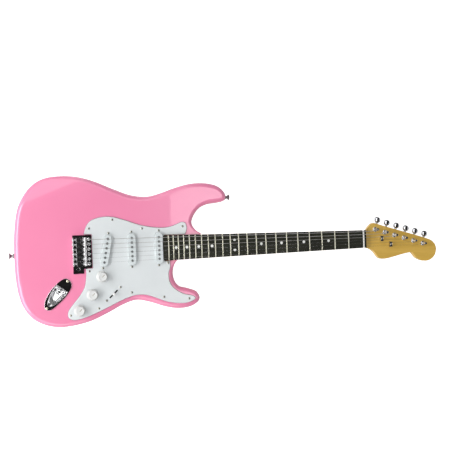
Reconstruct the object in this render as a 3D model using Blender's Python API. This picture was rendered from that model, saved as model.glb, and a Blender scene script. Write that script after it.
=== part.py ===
"""Six-string double-cutaway electric guitar with a spring-balanced vibrato bridge, lying on its back.

Lengths below are millimetres and are scaled by MM when a mesh is made. The design frame has x = 0 at the
nut with the body towards -X, y = 0 on the centre line with the bass side towards +Y, and z = 0 on the
body's top. One empty carries everything to the final frame, whose origin is the bottom centre.
"""

import bmesh
import bpy
from math import atan2, cos, pi, radians, sin
from mathutils import Matrix, Vector

MM = 0.001
GAP = 0.3  # between pieces that touch

# Driving dimensions
SCALE_LENGTH = 648.0
FRET_COUNT = 22
STRING_COUNT = 6
NUT_WIDTH = 42.0
LAST_FRET_WIDTH = 56.1
BODY_DEPTH = 45.0
EDGE_RADIUS = 11.0
BACK_PLATE = 2.0  # thickness of the neck plate and the vibrato cover
FOREARM_START = 96.0
FOREARM_ANGLE = radians(21.8)
BELLY_START = 58.0
NUT_SPREAD = 35.0  # outer strings, centre to centre
BRIDGE_SPREAD = 52.0

# Neck
BOARD_TOP = 9.5
BOARD_BOTTOM = 3.5
BOARD_END = -478.0
BOARD_HEAD_END = 8.5
BOARD_RADIUS = 241.0
HEEL_END = -474.0
POCKET_DEPTH = 16.0
POCKET_HALF = 28.6
HEAD_FACE = -1.0
HEAD_DEPTH = 14.3
FRET_HEIGHT = 1.1
FRET_HALF_WIDTH = 1.2
NUT_THICKNESS = 3.4
NUT_TOP = 11.0
ROD_RADIUS = 3.0

# Body hardware
GUARD_THICKNESS = 2.2
GUARD_TOP = GAP + GUARD_THICKNESS
BACK = -BODY_DEPTH
FLOOR = BACK - GAP - BACK_PLATE
PICKUPS = {  # name: (centre x, centre y, slant in degrees, pole spread)
    "neck": (-487.9, 0.6, 0.0, 48.0),
    "middle": (-548.2, 0.3, 0.0, 50.0),
    "bridge": (-605.2, 0.0, -10.6, 52.0),
}
COVER_LENGTH = 70.0
COVER_WIDTH = 18.4
COVER_TOP = 8.6
COVER_WALL = 1.4
POLE_TOP = 9.6
POLE_RADIUS = 2.4
KNOBS = {"volume": (-615.8, -56.4), "neck_tone": (-638.0, -95.1), "middle_tone": (-666.9, -127.7)}
KNOB_RADIUS = 12.8
KNOB_HEIGHT = 14.5
SHAFT_RADIUS = 3.0
BUSHING_RADIUS = 4.6
SWITCH_CENTRE = (-591.8, -96.0)
SWITCH_ANGLE = radians(42.5)
SWITCH_PIVOT = -13.5
SWITCH_SLOT = 25.0

# Vibrato bridge
PIVOT_X = -642.0
PLATE_TOP = 2.5
PLATE_REAR = -677.0
SADDLE_TOP = 14.4
STRING_HOLE_X = -657.0
BLOCK_BOTTOM = -38.0
SPRING_Z = -35.5
SPRING_RADIUS = 3.8
CLAW_X = -574.0
CLAW_SCREWS = (-8.0, 8.0)

# Jack and strap buttons
JACK_PLATE_TOP = GAP + 1.5
DISH_TOP = JACK_PLATE_TOP + 1.0  # the hollow's sides carry on above the plate, for a clean cut
DISH_DEEP = -12.5
JACK_WALL_RUN = 13.0
DISH_END = ((-713.8, -70.0), (-691.6, -86.5))
JACK_ANGLE = atan2(DISH_END[1][0] - DISH_END[0][0], DISH_END[0][1] - DISH_END[1][1])
STRAP_BUTTON_HEIGHT = 11.5
BUTT_X = -800.5
STRAP_BUTTONS = (
    ("end", (BUTT_X, -3.0, -BODY_DEPTH / 2), (-1, 0, 0)),
    ("horn", (-326.4, 110.0, -BODY_DEPTH / 2), (1, 0, 0)),
)

# Tuners
POST_PITCH = 25.8
FIRST_POST = (36.9, 21.5)
ROW_ANGLE = radians(-17.2)
WORM_LEAD = 2.6
WHEEL_TEETH = 14
WHEEL_RADIUS = WORM_LEAD * WHEEL_TEETH / (2 * pi)
WORM_OFFSET = 8.5
WORM_RADIUS = WORM_OFFSET - WHEEL_RADIUS
WORM_Z = -21.6
POST_TOP = 15.0
STRING_RADII = (0.53, 0.42, 0.33, 0.22, 0.17, 0.13)
HEAD_TIP = 195.6
TREES = ((50.1, -0.8), (72.2, -15.4))
TREE_Z = 5.6


# ---------------------------------------------------------------- outlines


def thinned(points, tolerance):
    """A closed outline with the points left out that lie within tolerance of the chord past them."""
    kept = [points[0]]
    start = 0
    for end in range(2, len(points) + 1):
        chord = points[end % len(points)] - points[start]
        between = points[start + 1 : end]
        if max(abs(chord.cross(p - points[start])) for p in between) > tolerance * chord.length:
            start = end - 1
            kept.append(points[start])
    return kept


def smooth_outline(points, tolerance=0.35, steps=12):
    """A closed Catmull-Rom curve through the points; a point given twice is a sharp corner."""
    corners = [Vector(p) for p in points]
    count = len(corners)
    fine = []
    for i in range(count):
        p0, p1, p2, p3 = (corners[(i + k) % count] for k in (-1, 0, 1, 2))
        if (p2 - p1).length < 1e-6:
            continue
        for step in range(steps):
            t = step / steps
            fine.append(
                (p1 * 2 + (p2 - p0) * t + (p0 * 2 - p1 * 5 + p2 * 4 - p3) * t**2 + (p1 * 3 - p0 - p2 * 3 + p3) * t**3)
                / 2
            )
    return thinned(fine, tolerance)


def inset(outline, distance_at):
    """The counter-clockwise outline moved inwards by distance_at(point)."""
    moved = []
    for i, point in enumerate(outline):
        before = (point - outline[i - 1]).normalized()
        after = (outline[(i + 1) % len(outline)] - point).normalized()
        along = (before + after).normalized()
        inward = Vector((-along.y, along.x))
        mitre = 1 / max(0.6, along.dot(after))
        moved.append(point + inward * distance_at(point) * mitre)
    return moved


def stadium(length, width, steps=6):
    """A slot outline with round ends, its length along y."""
    radius = width / 2
    straight = length / 2 - radius
    turns = [pi * k / steps for k in range(steps + 1)]
    top = [Vector((radius * cos(a), straight + radius * sin(a))) for a in turns]
    return top + [-p for p in top]


def rounded_rectangle(low, high, radius, steps=3):
    """A counter-clockwise rectangle with round corners."""
    centres = ((high[0], high[1], 0), (low[0], high[1], 1), (low[0], low[1], 2), (high[0], low[1], 3))
    points = []
    for x, y, quarter in centres:
        cx = x - radius if x == high[0] else x + radius
        cy = y - radius if y == high[1] else y + radius
        for k in range(steps + 1):
            a = pi / 2 * (quarter + k / steps)
            points.append(Vector((cx + radius * cos(a), cy + radius * sin(a))))
    return points


def placed(outline, centre, angle=0.0):
    """An outline turned by angle and moved to centre."""
    turn = Matrix.Rotation(angle, 2)
    return [turn @ p + Vector(centre) for p in outline]


def at_height(outline, z):
    return [Vector((p.x, p.y, z)) for p in outline]


# ---------------------------------------------------------------- solids


def loft(rings):
    """A closed solid through rings of equal point counts, with flat ends."""
    bm = bmesh.new()
    rows = [[bm.verts.new(p) for p in ring] for ring in rings]
    for low, high in zip(rows, rows[1:]):
        for i in range(len(low)):
            j = (i + 1) % len(low)
            bm.faces.new((low[i], low[j], high[j], high[i]))
    bm.faces.new(rows[0][::-1])
    bm.faces.new(rows[-1])
    bmesh.ops.recalc_face_normals(bm, faces=bm.faces)
    return bm


def prism(outline, low, high):
    return loft([at_height(outline, low), at_height(outline, high)])


def block(low, high):
    corners = [(low[0], low[1]), (high[0], low[1]), (high[0], high[1]), (low[0], high[1])]
    return prism([Vector(c) for c in corners], low[2], high[2])


def turned(profile, segments, frame=Matrix.Identity(4)):
    """A turned solid from (radius, height) pairs; frame carries its axis, local +Z, into place."""
    angles = [2 * pi * k / segments for k in range(segments)]
    return loft([[frame @ Vector((r * cos(a), r * sin(a), h)) for a in angles] for r, h in profile])


def rod(start, end, radius, segments=8):
    """A cylinder between two points."""
    start, end = Vector(start), Vector(end)
    frame = Matrix.Translation(start) @ (end - start).to_track_quat("Z", "Y").to_matrix().to_4x4()
    return turned([(radius, 0), (radius, (end - start).length)], segments, frame)


def upright(x, y, z=0.0):
    return Matrix.Translation((x, y, z))


def axis_frame(origin, direction):
    """A frame at origin whose +Z points along direction."""
    return Matrix.Translation(origin) @ Vector(direction).to_track_quat("Z", "Y").to_matrix().to_4x4()


def material(name, colour, roughness, metallic=0.0):
    made = bpy.data.materials.get(name) or bpy.data.materials.new(name)
    made.use_nodes = True
    shader = made.node_tree.nodes["Principled BSDF"]
    shader.inputs["Base Color"].default_value = (*colour, 1)
    shader.inputs["Roughness"].default_value = roughness
    shader.inputs["Metallic"].default_value = metallic
    return made


def new_object(name, bm, pivot=(0, 0, 0)):
    bmesh.ops.transform(bm, matrix=Matrix.Scale(MM, 4) @ Matrix.Translation(-Vector(pivot)), verts=bm.verts)
    mesh = bpy.data.meshes.new(name)
    bm.to_mesh(mesh)
    bm.free()
    made = bpy.data.objects.new(name, mesh)
    made.location = Vector(pivot) * MM
    bpy.context.collection.objects.link(made)
    return made


def piece(name, bm, look, pivot=(0, 0, 0), smooth=True):
    """One sub-part: a named object with its material, its origin at pivot, carried by the guitar's empty."""
    made = new_object(name, bm, pivot)
    made.parent = bpy.data.objects["guitar"]
    made.data.materials.append(material(*look))
    if smooth:
        made.data.shade_smooth()
        made.data.set_sharp_from_angle(angle=radians(35))
    return made


def combine(target, operation, *tools):
    """Adds one exact Boolean to target for each tool solid."""
    for number, bm in enumerate(tools):
        tool = new_object(f"{target.name}_{operation.lower()}_{number}", bm)
        tool.parent = bpy.data.objects["guitar"]
        tool.hide_render = True
        tool.display_type = "WIRE"
        modifier = target.modifiers.new(tool.name, "BOOLEAN")
        modifier.operation = operation
        modifier.object = tool


def cut(target, *tools):
    combine(target, "DIFFERENCE", *tools)


def fuse(target, *tools):
    combine(target, "UNION", *tools)


# ---------------------------------------------------------------- looks: name, colour, roughness, metallic

PINK = ("pink_lacquer", (0.85, 0.28, 0.47), 0.2)
MAPLE = ("maple", (0.60, 0.40, 0.16), 0.35)
DARK_WOOD = ("dark_fingerboard", (0.035, 0.035, 0.03), 0.5)
BONE = ("bone", (0.85, 0.83, 0.76), 0.4)
WHITE = ("white_plastic", (0.82, 0.84, 0.85), 0.3)
CHROME = ("chrome_plate", (0.75, 0.75, 0.76), 0.12, 1.0)
STEEL = ("plain_steel", (0.55, 0.55, 0.56), 0.35, 1.0)
STRING = ("string_steel", (0.62, 0.60, 0.56), 0.3, 1.0)
BLACK = ("black_plastic", (0.02, 0.02, 0.02), 0.5)


# ---------------------------------------------------------------- shared positions


def fret_x(number):
    return -SCALE_LENGTH * (1 - 2 ** (-number / 12))


def half_width(x):
    """Half of the neck's width: straight at the head, tapered from the nut to the body."""
    return NUT_WIDTH / 2 + max(0.0, -x) / -fret_x(FRET_COUNT) * (LAST_FRET_WIDTH - NUT_WIDTH) / 2


def string_y(number, x):
    """Height across the neck of string 1 (lowest pitch) to 6 at x."""
    spread = NUT_SPREAD + (BRIDGE_SPREAD - NUT_SPREAD) * -x / SCALE_LENGTH
    return spread * (0.5 - (number - 1) / (STRING_COUNT - 1))


def row_point(number, along=0.0, out=0.0):
    """A point by tuner 1 to 6, moved along the tuner row and out towards the buttons."""
    distance = POST_PITCH * (number - 1) + along
    return (
        FIRST_POST[0] + distance * cos(ROW_ANGLE) - out * sin(ROW_ANGLE),
        FIRST_POST[1] + distance * sin(ROW_ANGLE) + out * cos(ROW_ANGLE),
    )


def body_outline():
    """Seen from above, counter-clockwise from the bass cutaway round the butt to the neck joint."""
    bass = [(-388, 28.5), (-399, 35.5), (-407, 47), (-408, 59), (-400, 75.5), (-387, 88.5), (-368, 95.5)]
    bass += [(-347, 97.8), (-332, 101.5), (-326.6, 110), (-330, 122), (-343, 134.5), (-362, 141.5), (-386, 144)]
    bass += [(-412, 142.3), (-444, 134.5), (-480, 122.5), (-510, 116.5), (-545, 121), (-585, 136.5), (-625, 154)]
    bass += [(-663, 164.8), (-700, 167.2), (-733, 162.5), (-759, 147.5), (-779, 122.5), (-792, 92), (-798.8, 45)]
    butt = [(-800.5, 0)]
    treble = [(-799, -55), (-790, -102), (-772, -134), (-748, -152), (-715, -162), (-680, -161), (-640, -152.5)]
    treble += [(-600, -135.5), (-570, -121), (-541, -113), (-511, -118.8), (-477, -131), (-447, -137.2)]
    treble += [(-420, -135), (-402, -126), (-396.5, -115), (-404, -101), (-423, -93), (-441, -88), (-451.5, -77)]
    treble += [(-456, -60), (-454, -41), (-447, -29.5), (-438, -25.5)]
    heel = [(-396, -24.5), (-388, -20), (-386, 0), (-386, 20)]
    return smooth_outline(bass + butt + treble + heel)


def roundover(point):
    """How much of the edge radius is left near the neck joint, where the edge is square."""
    away = max((abs(point.y) - 26) / 30, (-450 - point.x) / 30)
    return min(1.0, max(0.06, away))


def tapered(low, z, reach):
    """A quadratic start followed by a straight slope: 0 before low, reach per millimetre after."""
    past = z - low
    if past <= 0:
        return 0.0
    blend = 24.0
    return reach * (past * past / (2 * blend) if past < blend else past - blend / 2)


def forearm_drop(point):
    """How far the top falls towards the bass side's rear, past a line across the lower bout."""
    return tapered(FOREARM_START, point.y * cos(FOREARM_ANGLE) - (point.x + 740) * sin(FOREARM_ANGLE), 0.3)


def belly_rise(point):
    """How far the back rises behind the waist on the bass side."""
    return tapered(BELLY_START, point.y, 0.32) * max(0.0, 1 - ((point.x + 545) / 140) ** 2)


# ---------------------------------------------------------------- body


def body_blank():
    outline = body_outline()
    mid = -BODY_DEPTH / 2
    rings = []
    for turn in (90, 40, 0):
        rise = EDGE_RADIUS * (1 - sin(radians(turn)))
        ring = inset(outline, lambda p, a=turn: EDGE_RADIUS * roundover(p) * (1 - cos(radians(a))))
        rings.append([Vector((q.x, q.y, -rise * roundover(p))) for p, q in zip(outline, ring)])
    back = [[Vector((q.x, q.y, -BODY_DEPTH - q.z)) for q in ring] for ring in rings[::-1]]
    bm = loft(rings + back)
    across = Vector((-sin(FOREARM_ANGLE), cos(FOREARM_ANGLE), 0))
    planes = [(Vector((-740, 0, 0)) + across * (FOREARM_START + step), across) for step in (0, 12, 24)]
    planes += [(Vector((x, 0, 0)), Vector((1, 0, 0))) for x in (-650, -600, -545, -490, -440)]
    planes += [(Vector((0, BELLY_START + step, 0)), Vector((0, 1, 0))) for step in (0, 24)]
    for origin, normal in planes:
        everything = bm.verts[:] + bm.edges[:] + bm.faces[:]
        bmesh.ops.bisect_plane(bm, geom=everything, plane_co=origin, plane_no=normal)
    for vert in bm.verts:
        if vert.co.z > mid:
            vert.co.z -= forearm_drop(vert.co) * (1 - vert.co.z / mid)
        else:
            vert.co.z += belly_rise(vert.co) * (1 - (BACK - vert.co.z) / mid)
    return bm


def dish_rim(margin):
    """The dish's edge in the jack plate, grown outwards by margin, and its centre."""
    rim = [DISH_END[0], (-722.5, -80.0), (-730.0, -94.0), (-734.3, -108.0), (-731.0, -114.5)]
    rim += [(-722.0, -113.0), (-710.0, -104.5), (-699.0, -95.0), DISH_END[1]]
    centre = sum((Vector(p) for p in rim), Vector((0, 0))) / len(rim)
    return [Vector(p) + (Vector(p) - centre).normalized() * margin for p in rim], centre


def jack_hollow(margin, top_z):
    """The dish under the jack plate: a steep wall with the jack in it, and a floor rising to the tip."""
    top, centre = dish_rim(margin)
    rim, _ = dish_rim(0)
    along = Vector((cos(JACK_ANGLE), sin(JACK_ANGLE)))
    deep = (rim[0] + rim[-1]) / 2 - along * JACK_WALL_RUN
    side = Vector((-along.y, along.x))
    floor = [deep + side * 7.5, deep - side * 7.5, deep - along * 16 - side * 4, deep - along * 16 + side * 4]
    depths = (DISH_DEEP, DISH_DEEP, -8.0, -8.0)
    bm = bmesh.new()
    for point in top:
        bm.verts.new((point.x, point.y, top_z))
    for point, depth in zip(floor, depths):
        grown = point + (point - centre).normalized() * margin
        bm.verts.new((grown.x, grown.y, depth - margin))
    bmesh.ops.convex_hull(bm, input=bm.verts)
    bmesh.ops.recalc_face_normals(bm, faces=bm.faces)
    return bm


def jack_frame():
    """The jack's axis: through the dish's steep wall, pointing out of it over the floor."""
    along = Vector((cos(JACK_ANGLE), sin(JACK_ANGLE), 0))
    middle = (Vector(DISH_END[0]) + Vector(DISH_END[1])) / 2
    wall_top = Vector((*middle, DISH_TOP))
    wall_foot = wall_top - along * JACK_WALL_RUN + Vector((0, 0, DISH_DEEP - DISH_TOP))
    slope = (wall_top - wall_foot).normalized()
    outward = slope.cross(along.cross(Vector((0, 0, 1)))).normalized()
    if outward.z < 0:
        outward.negate()
    return axis_frame((wall_top + wall_foot) / 2, outward)


def neck_screw_places():
    return [(x, y) for x in (-453.5, -405.5) for y in (-19.0, 19.0)]


def body():
    made = piece("body", body_blank(), PINK)
    pocket = block((HEEL_END - GAP, -POCKET_HALF, -POCKET_DEPTH), (-360, POCKET_HALF, 5))
    cut(made, pocket)
    for x, y, slant, _ in PICKUPS.values():
        cut(made, prism(placed(stadium(91, 24), (x, y), radians(slant)), -18, 5))
    controls = [(-566, -62), (-598, -40), (-630, -40), (-653, -80), (-684, -122), (-682, -142), (-664, -143)]
    controls += [(-625, -127), (-592, -116), (-566, -96)]
    cut(made, prism([Vector(p) for p in controls], -37.5, 5))
    cut(made, block((-673, -37.5, BACK - 5), (-645.5, 35.5, 5)))
    cut(made, block((-673.5, -38, BACK - 5), (-556, 36, -28.5)))
    cut(made, turned([(11.0, -26), (11.0, -1)], 12, jack_frame()))
    recess, _ = dish_rim(1.6)
    cut(made, prism(recess, -15.5, 5))
    for x, y in neck_screw_places():
        cut(made, rod((x, y, BACK - 5), (x, y, 0), 2.6))
    for y in CLAW_SCREWS:
        cut(made, rod((CLAW_X, y, SPRING_Z), (-532, y, SPRING_Z), 2.4))
    for _, origin, direction in STRAP_BUTTONS:
        start = Vector(origin) + Vector(direction) * 5
        cut(made, rod(start, Vector(origin) - Vector(direction) * 24, 1.9))


# ---------------------------------------------------------------- neck and fingerboard


def crown(y):
    """How far the fingerboard's round top falls towards its edges."""
    return BOARD_RADIUS - (BOARD_RADIUS**2 - y * y) ** 0.5


def head_edges(x):
    """Lowest and highest y of the neck and head at x."""
    upper = [(9, 21), (14, 22.8), (18, 26.5), (23, 31), (27, 34.8), (31, 36.8), (36, 36.8), (59, 29.5)]
    upper += [(134, 6.8), (158, -0.7), (176, -6.7), (184, -10.5), (189, -15), (193, -20), (194.6, -25)]
    upper.append((HEAD_TIP, -31))
    lower = [(9, -21), (14, -22.4), (21, -24), (28, -28.5), (33, -33), (37, -38), (41, -44), (46, -48.3)]
    lower += [(56, -49.7), (66, -49), (84, -45.3), (110, -39.6), (126, -37.5), (131, -38.4), (136, -44)]
    lower += [(141, -50), (148, -55), (158, -58.8), (169, -59.6), (177, -58), (184, -54), (190, -48.5)]
    lower += [(193.4, -42), (195, -36), (HEAD_TIP, -31)]
    if x < 9:
        return -half_width(x), half_width(x)
    return tuple(between(edge, x) for edge in (lower, upper))


def between(table, x):
    """Straight-line reading of (x, value) pairs."""
    for (x0, v0), (x1, v1) in zip(table, table[1:]):
        if x <= x1:
            return v0 + (v1 - v0) * (x - x0) / (x1 - x0)
    return table[-1][1]


def neck_section(x):
    """One cross-section of the neck blank: flat top, round back; flat both sides along the head."""
    top = between([(-500, BOARD_BOTTOM), (9, BOARD_BOTTOM), (13, 1.0), (19, HEAD_FACE), (200, HEAD_FACE)], x)
    back = [(-500, -POCKET_DEPTH + GAP), (-405, -POCKET_DEPTH + GAP), (-380, -14.2), (-324, -13.0)]
    back += [(-5, -11.5), (12, -13.5), (26, HEAD_FACE - HEAD_DEPTH), (200, HEAD_FACE - HEAD_DEPTH)]
    low = between(back, x)
    squareness = between([(-500, 1), (-405, 1), (-370, 0), (4, 0), (24, 1), (200, 1)], x)
    right, left = head_edges(x)
    centre, half = (left + right) / 2, (left - right) / 2
    round_back = ((1.0, 0.0), (0.93, 0.42), (0.72, 0.76), (0.38, 0.95), (0.0, 1.0))
    square_back = ((1.0, 0.0), (1.0, 0.5), (1.0, 0.93), (0.97, 1.0), (0.0, 1.0))
    points = []
    for (ry, rz), (sy, sz) in zip(round_back, square_back):
        across = ry + (sy - ry) * squareness
        down = rz + (sz - rz) * squareness
        points.append((across, top + (low - top) * down))
    half_ring = [Vector((x, centre + half * a, z)) for a, z in points]
    other = [Vector((x, centre - half * a, z)) for a, z in points[-2::-1]]
    return half_ring + other


def neck():
    stations = [HEEL_END, -405, -392, -380, -370, -324, -160, -5, 4, 9, 11, 14, 18, 23, 27, 31, 36, 41, 46, 56]
    stations += [66, 84, 110, 126, 131, 136, 141, 148, 158, 169, 177, 184, 189, 191.5, 193.4, 194.6, 195.2]
    stations.append(HEAD_TIP)
    rings = [neck_section(x) for x in stations]
    tip = rings[-1]
    rings[-1] = [Vector((p.x, -31 + (q.y + 31) * 0.35, q.z)) for p, q in zip(tip, rings[-2])]
    made = piece("neck", loft(rings), MAPLE)
    cut(made, block((-470, -ROD_RADIUS - GAP, BOARD_BOTTOM - 2 * ROD_RADIUS - 2.6), (-14, ROD_RADIUS + GAP, 6)))
    for x, y in neck_screw_places():
        cut(made, rod((x, y, -20), (x, y, -4.5), 2.6))
    for number in range(1, STRING_COUNT + 1):
        x, y = row_point(number)
        cut(made, rod((x, y, -18), (x, y, 2), 5.0, 10))


def truss_rod():
    centre = BOARD_BOTTOM - ROD_RADIUS - 1.5
    piece("truss_rod", rod((-466, 0, centre), (-18, 0, centre), ROD_RADIUS, 10), STEEL)


def fingerboard():
    """The board with its frets: ridges of the same solid, each a pair of steps up and down."""
    heights = [(BOARD_HEAD_END, 0.0), (NUT_THICKNESS + GAP, 0.0), (NUT_THICKNESS + GAP, -3.2)]
    heights += [(-GAP, -3.2), (-GAP, 0.0)]
    for number in range(1, FRET_COUNT + 1):
        x = fret_x(number)
        shape = ((1, 0), (0.6, 1), (-0.6, 1), (-1, 0))
        heights += [(x + FRET_HALF_WIDTH * a, FRET_HEIGHT * h) for a, h in shape]
    heights.append((BOARD_END, 0.0))
    rings = []
    for x, rise in heights:
        half = half_width(x)
        across = [half * k / 2 for k in (-2, -1, 0, 1, 2)]
        top = [Vector((x, y, BOARD_TOP - crown(y) + rise)) for y in across]
        rings.append([Vector((x, -half, BOARD_BOTTOM + GAP)), *top, Vector((x, half, BOARD_BOTTOM + GAP))])
    piece("fingerboard", loft(rings), DARK_WOOD)


def nut():
    half = NUT_WIDTH / 2
    across = [half * k / 3 for k in (-3, -2, -1, 0, 1, 2, 3)]
    rings = []
    for x, rise in ((0, -0.6), (0.8, 0), (NUT_THICKNESS - 0.8, 0), (NUT_THICKNESS, -0.8)):
        top = [Vector((x, y, NUT_TOP - crown(y) + rise)) for y in across]
        foot = [Vector((x, y, BOARD_TOP - 3.2 - crown(y) + GAP)) for y in across[::-1]]
        rings.append(top + foot)
    piece("nut", loft(rings), BONE)


def neck_plate():
    outline = rounded_rectangle((-461.5, -25.5), (-397.5, 25.5), 6)
    made = piece("neck_plate", prism(outline, FLOOR, BACK - GAP), CHROME)
    for x, y in neck_screw_places():
        fuse(made, rod((x, y, FLOOR + 0.5), (x, y, -7.0), 2.2))


# ---------------------------------------------------------------- tuners and strings


def tuner_plate():
    """One strip under all the tuners, with two lugs for each worm."""
    low = HEAD_FACE - HEAD_DEPTH - GAP - 1.4
    strip = rounded_rectangle((-11, -9.5), (5 * POST_PITCH + 14, 10.5), 4)
    made = piece("tuner_plate", prism(placed(strip, FIRST_POST, ROW_ANGLE), low, low + 1.4), CHROME, smooth=False)
    for number in range(1, STRING_COUNT + 1):
        x, y = row_point(number)
        cut(made, rod((x, y, low - 3), (x, y, low + 4), 3.5, 10))
        for out in (-7.3, 7.3):
            lug = [Vector((WORM_OFFSET + a, out + b)) for a, b in ((-3, -1), (3, -1), (3, 1), (-3, 1))]
            fuse(made, prism(placed(lug, row_point(number), ROW_ANGLE), WORM_Z - 3.6, low + 0.5))
        near, far = row_point(number, WORM_OFFSET, -12), row_point(number, WORM_OFFSET, 12)
        cut(made, rod((*near, WORM_Z), (*far, WORM_Z), 1.85))


def worm_radius(turn, out):
    """The worm thread: a flat crest, a flat root and sloping sides, one lead per turn."""
    phase = (out / WORM_LEAD - turn) % 1.0
    height = between([(0, 0.55), (0.14, 0.55), (0.36, -0.72), (0.64, -0.72), (0.86, 0.55), (1, 0.55)], phase)
    return WORM_RADIUS + height


def tuner_button(number):
    """Worm, shaft and oval button as one piece, turning about the shaft's axis."""
    x, y = row_point(number, WORM_OFFSET)
    frame = Matrix.Translation((x, y, WORM_Z)) @ Matrix.Rotation(ROW_ANGLE, 4, "Z")
    segments = 10
    rings = []

    def ring(out, radius_at, flatness=1.0):
        points = []
        for k in range(segments):
            turn = k / segments
            r = radius_at(turn)
            points.append(frame @ Vector((r * cos(2 * pi * turn), out, r * flatness * sin(2 * pi * turn))))
        rings.append(points)

    ring(-9.2, lambda turn: 1.5)
    ring(-3.4, lambda turn: 1.5)
    for step in range(-7, 8):
        out = step * WORM_LEAD / 8
        ring(out, lambda turn, out=out: worm_radius(turn, out))
    ring(3.4, lambda turn: 1.5)
    ring(17.5, lambda turn: 1.5)
    for out, wide in ((19.5, 2.6), (22.0, 6.4), (27.0, 8.4), (31.5, 7.2), (33.4, 4.6)):
        ring(out, lambda turn, wide=wide: wide, min(1.0, 3.1 / wide))
    piece(f"tuner_button_{number}", loft(rings), CHROME, pivot=(x, y, WORM_Z))


def tuner_post(number):
    """Post and worm wheel as one piece; the wound string makes the fuller middle of the post."""
    x, y = row_point(number)
    frame = Matrix.Translation((x, y, 0)) @ Matrix.Rotation(ROW_ANGLE, 4, "Z")
    profile = [(2.0, WORM_Z - 2.6), (3.0, WORM_Z), (3.0, 3.0), (4.6, 4.2), (4.6, 9.5), (2.9, 11.0), (3.2, POST_TOP)]
    made = piece(f"tuner_post_{number}", turned(profile, 8, frame), CHROME, pivot=(x, y, 0))
    lead_tangent = WORM_LEAD / (2 * pi * WORM_RADIUS)
    rings = []
    for z in (-1.8, 1.8):
        twist = -z * lead_tangent / WHEEL_RADIUS
        ring = []
        for tooth in range(WHEEL_TEETH):
            for part, radius in ((-0.30, -0.85), (-0.12, 0.5), (0.12, 0.5), (0.30, -0.85)):
                turn = 2 * pi * (tooth + part) / WHEEL_TEETH + twist
                r = WHEEL_RADIUS + radius
                ring.append(frame @ Vector((r * cos(turn), r * sin(turn), WORM_Z + z)))
        rings.append(ring)
    fuse(made, loft(rings))


def wrap_point(number, out=0.0):
    """Where string meets post: on the post's side away from its button, level with the windings."""
    reach = 4.6 + STRING_RADII[number - 1] + GAP
    return row_point(number, 0, -reach - out)


def string(number):
    """Ball end in the vibrato block, over the saddle and the nut, then to its post."""
    radius = STRING_RADII[number - 1]
    y = string_y(number, -SCALE_LENGTH)
    over_nut = NUT_TOP + GAP + radius - crown(string_y(number, 0))
    over_saddle = SADDLE_TOP + GAP + radius
    end = wrap_point(number)
    route = [(STRING_HOLE_X, y, -17.0, 1.9), (STRING_HOLE_X, y, -13.8, 1.9), (STRING_HOLE_X, y, -13.5, radius)]
    route += [(STRING_HOLE_X, y, 4.0, radius), (-654.6, y, 12.4, radius), (-652.8, y, over_saddle - 0.3, radius)]
    route += [(-651.0, y, over_saddle, radius), (-648.4, y, over_saddle - 0.1, radius)]
    route += [(-0.5, string_y(number, 0), over_nut, radius), (NUT_THICKNESS + 0.5, string_y(number, 0), over_nut, radius)]
    if number > 2:
        nut_x, nut_y = NUT_THICKNESS + 0.5, string_y(number, 0)
        for tree_x in (TREES[(number - 3) // 2][0] + side for side in (-4.7, 4.7)):
            tree_y = nut_y + (end[1] - nut_y) * (tree_x - nut_x) / (end[0] - nut_x)
            route.append((tree_x, tree_y, TREE_Z - GAP - radius, radius))
    route.append((*end, 7.0, radius))
    centres = [Vector(p[:3]) for p in route]
    rings = []
    for i, (centre, point) in enumerate(zip(centres, route)):
        before = centre - centres[max(0, i - 1)]
        after = centres[min(len(centres) - 1, i + 1)] - centre
        along = before.normalized() + after.normalized()
        side = Vector((0, 1, 0)) if i < 7 else Vector((-along.y, along.x, 0)).normalized()
        up = side.cross(along).normalized()
        angles = [2 * pi * k / 6 for k in range(6)]
        rings.append([centre + (side * cos(a) + up * sin(a)) * point[3] for a in angles])
    piece(f"string_{number}", loft(rings), STRING)


def string_tree(number, x, y):
    """A pressed wing that holds two strings down, on its own post."""
    wing = rounded_rectangle((x - 4.2, y - 6.2), (x + 4.2, y + 6.2), 1.5, 2)
    made = piece(f"string_tree_{number}", prism(wing, TREE_Z, TREE_Z + 1.2), CHROME)
    fuse(made, rod((x, y, HEAD_FACE + GAP), (x, y, TREE_Z + 0.6), 1.9))


# ---------------------------------------------------------------- pickguard, pickups and controls


def guard_outline():
    """Counter-clockwise from the neck pocket's bass side; a point given twice is a corner."""
    bass = [(-427, 28.9), (-427, 28.9), (-423.5, 36), (-422.3, 45), (-425, 54), (-433, 57), (-444, 53.3)]
    bass += [(-458, 48.3), (-476, 46), (-500, 48), (-530, 54.5), (-560, 65.5), (-585, 73), (-604, 75)]
    bass += [(-622, 72.5), (-636, 67), (-644.5, 58), (-649.5, 47), (-652, 37), (-652, 37)]
    bridge = [(-635, 37), (-635, 37), (-635, -37), (-635, -37), (-650, -37), (-650, -37)]
    rear = [(-650, -52), (-654, -76), (-665, -95), (-680, -113), (-690, -126), (-692.5, -137), (-688, -145)]
    rear += [(-675, -148), (-650, -142.6), (-615, -129), (-578, -112.7), (-552, -103.3), (-533, -101)]
    horn = [(-517, -103), (-498, -110), (-475, -119.5), (-455, -123.8), (-438, -125.5), (-421, -123.6)]
    horn += [(-410.5, -118.5), (-409, -113.8), (-416, -109), (-434, -104.3), (-450, -95.5), (-461.5, -84)]
    horn += [(-467, -70), (-467, -55), (-463.5, -44), (-463, -28.9), (-463, -28.9)]
    neck_end = [(HEEL_END - 0.8, -28.9)] * 2 + [(HEEL_END - 0.8, 28.9)] * 2
    return smooth_outline(bass + bridge + rear + horn + neck_end)


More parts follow.
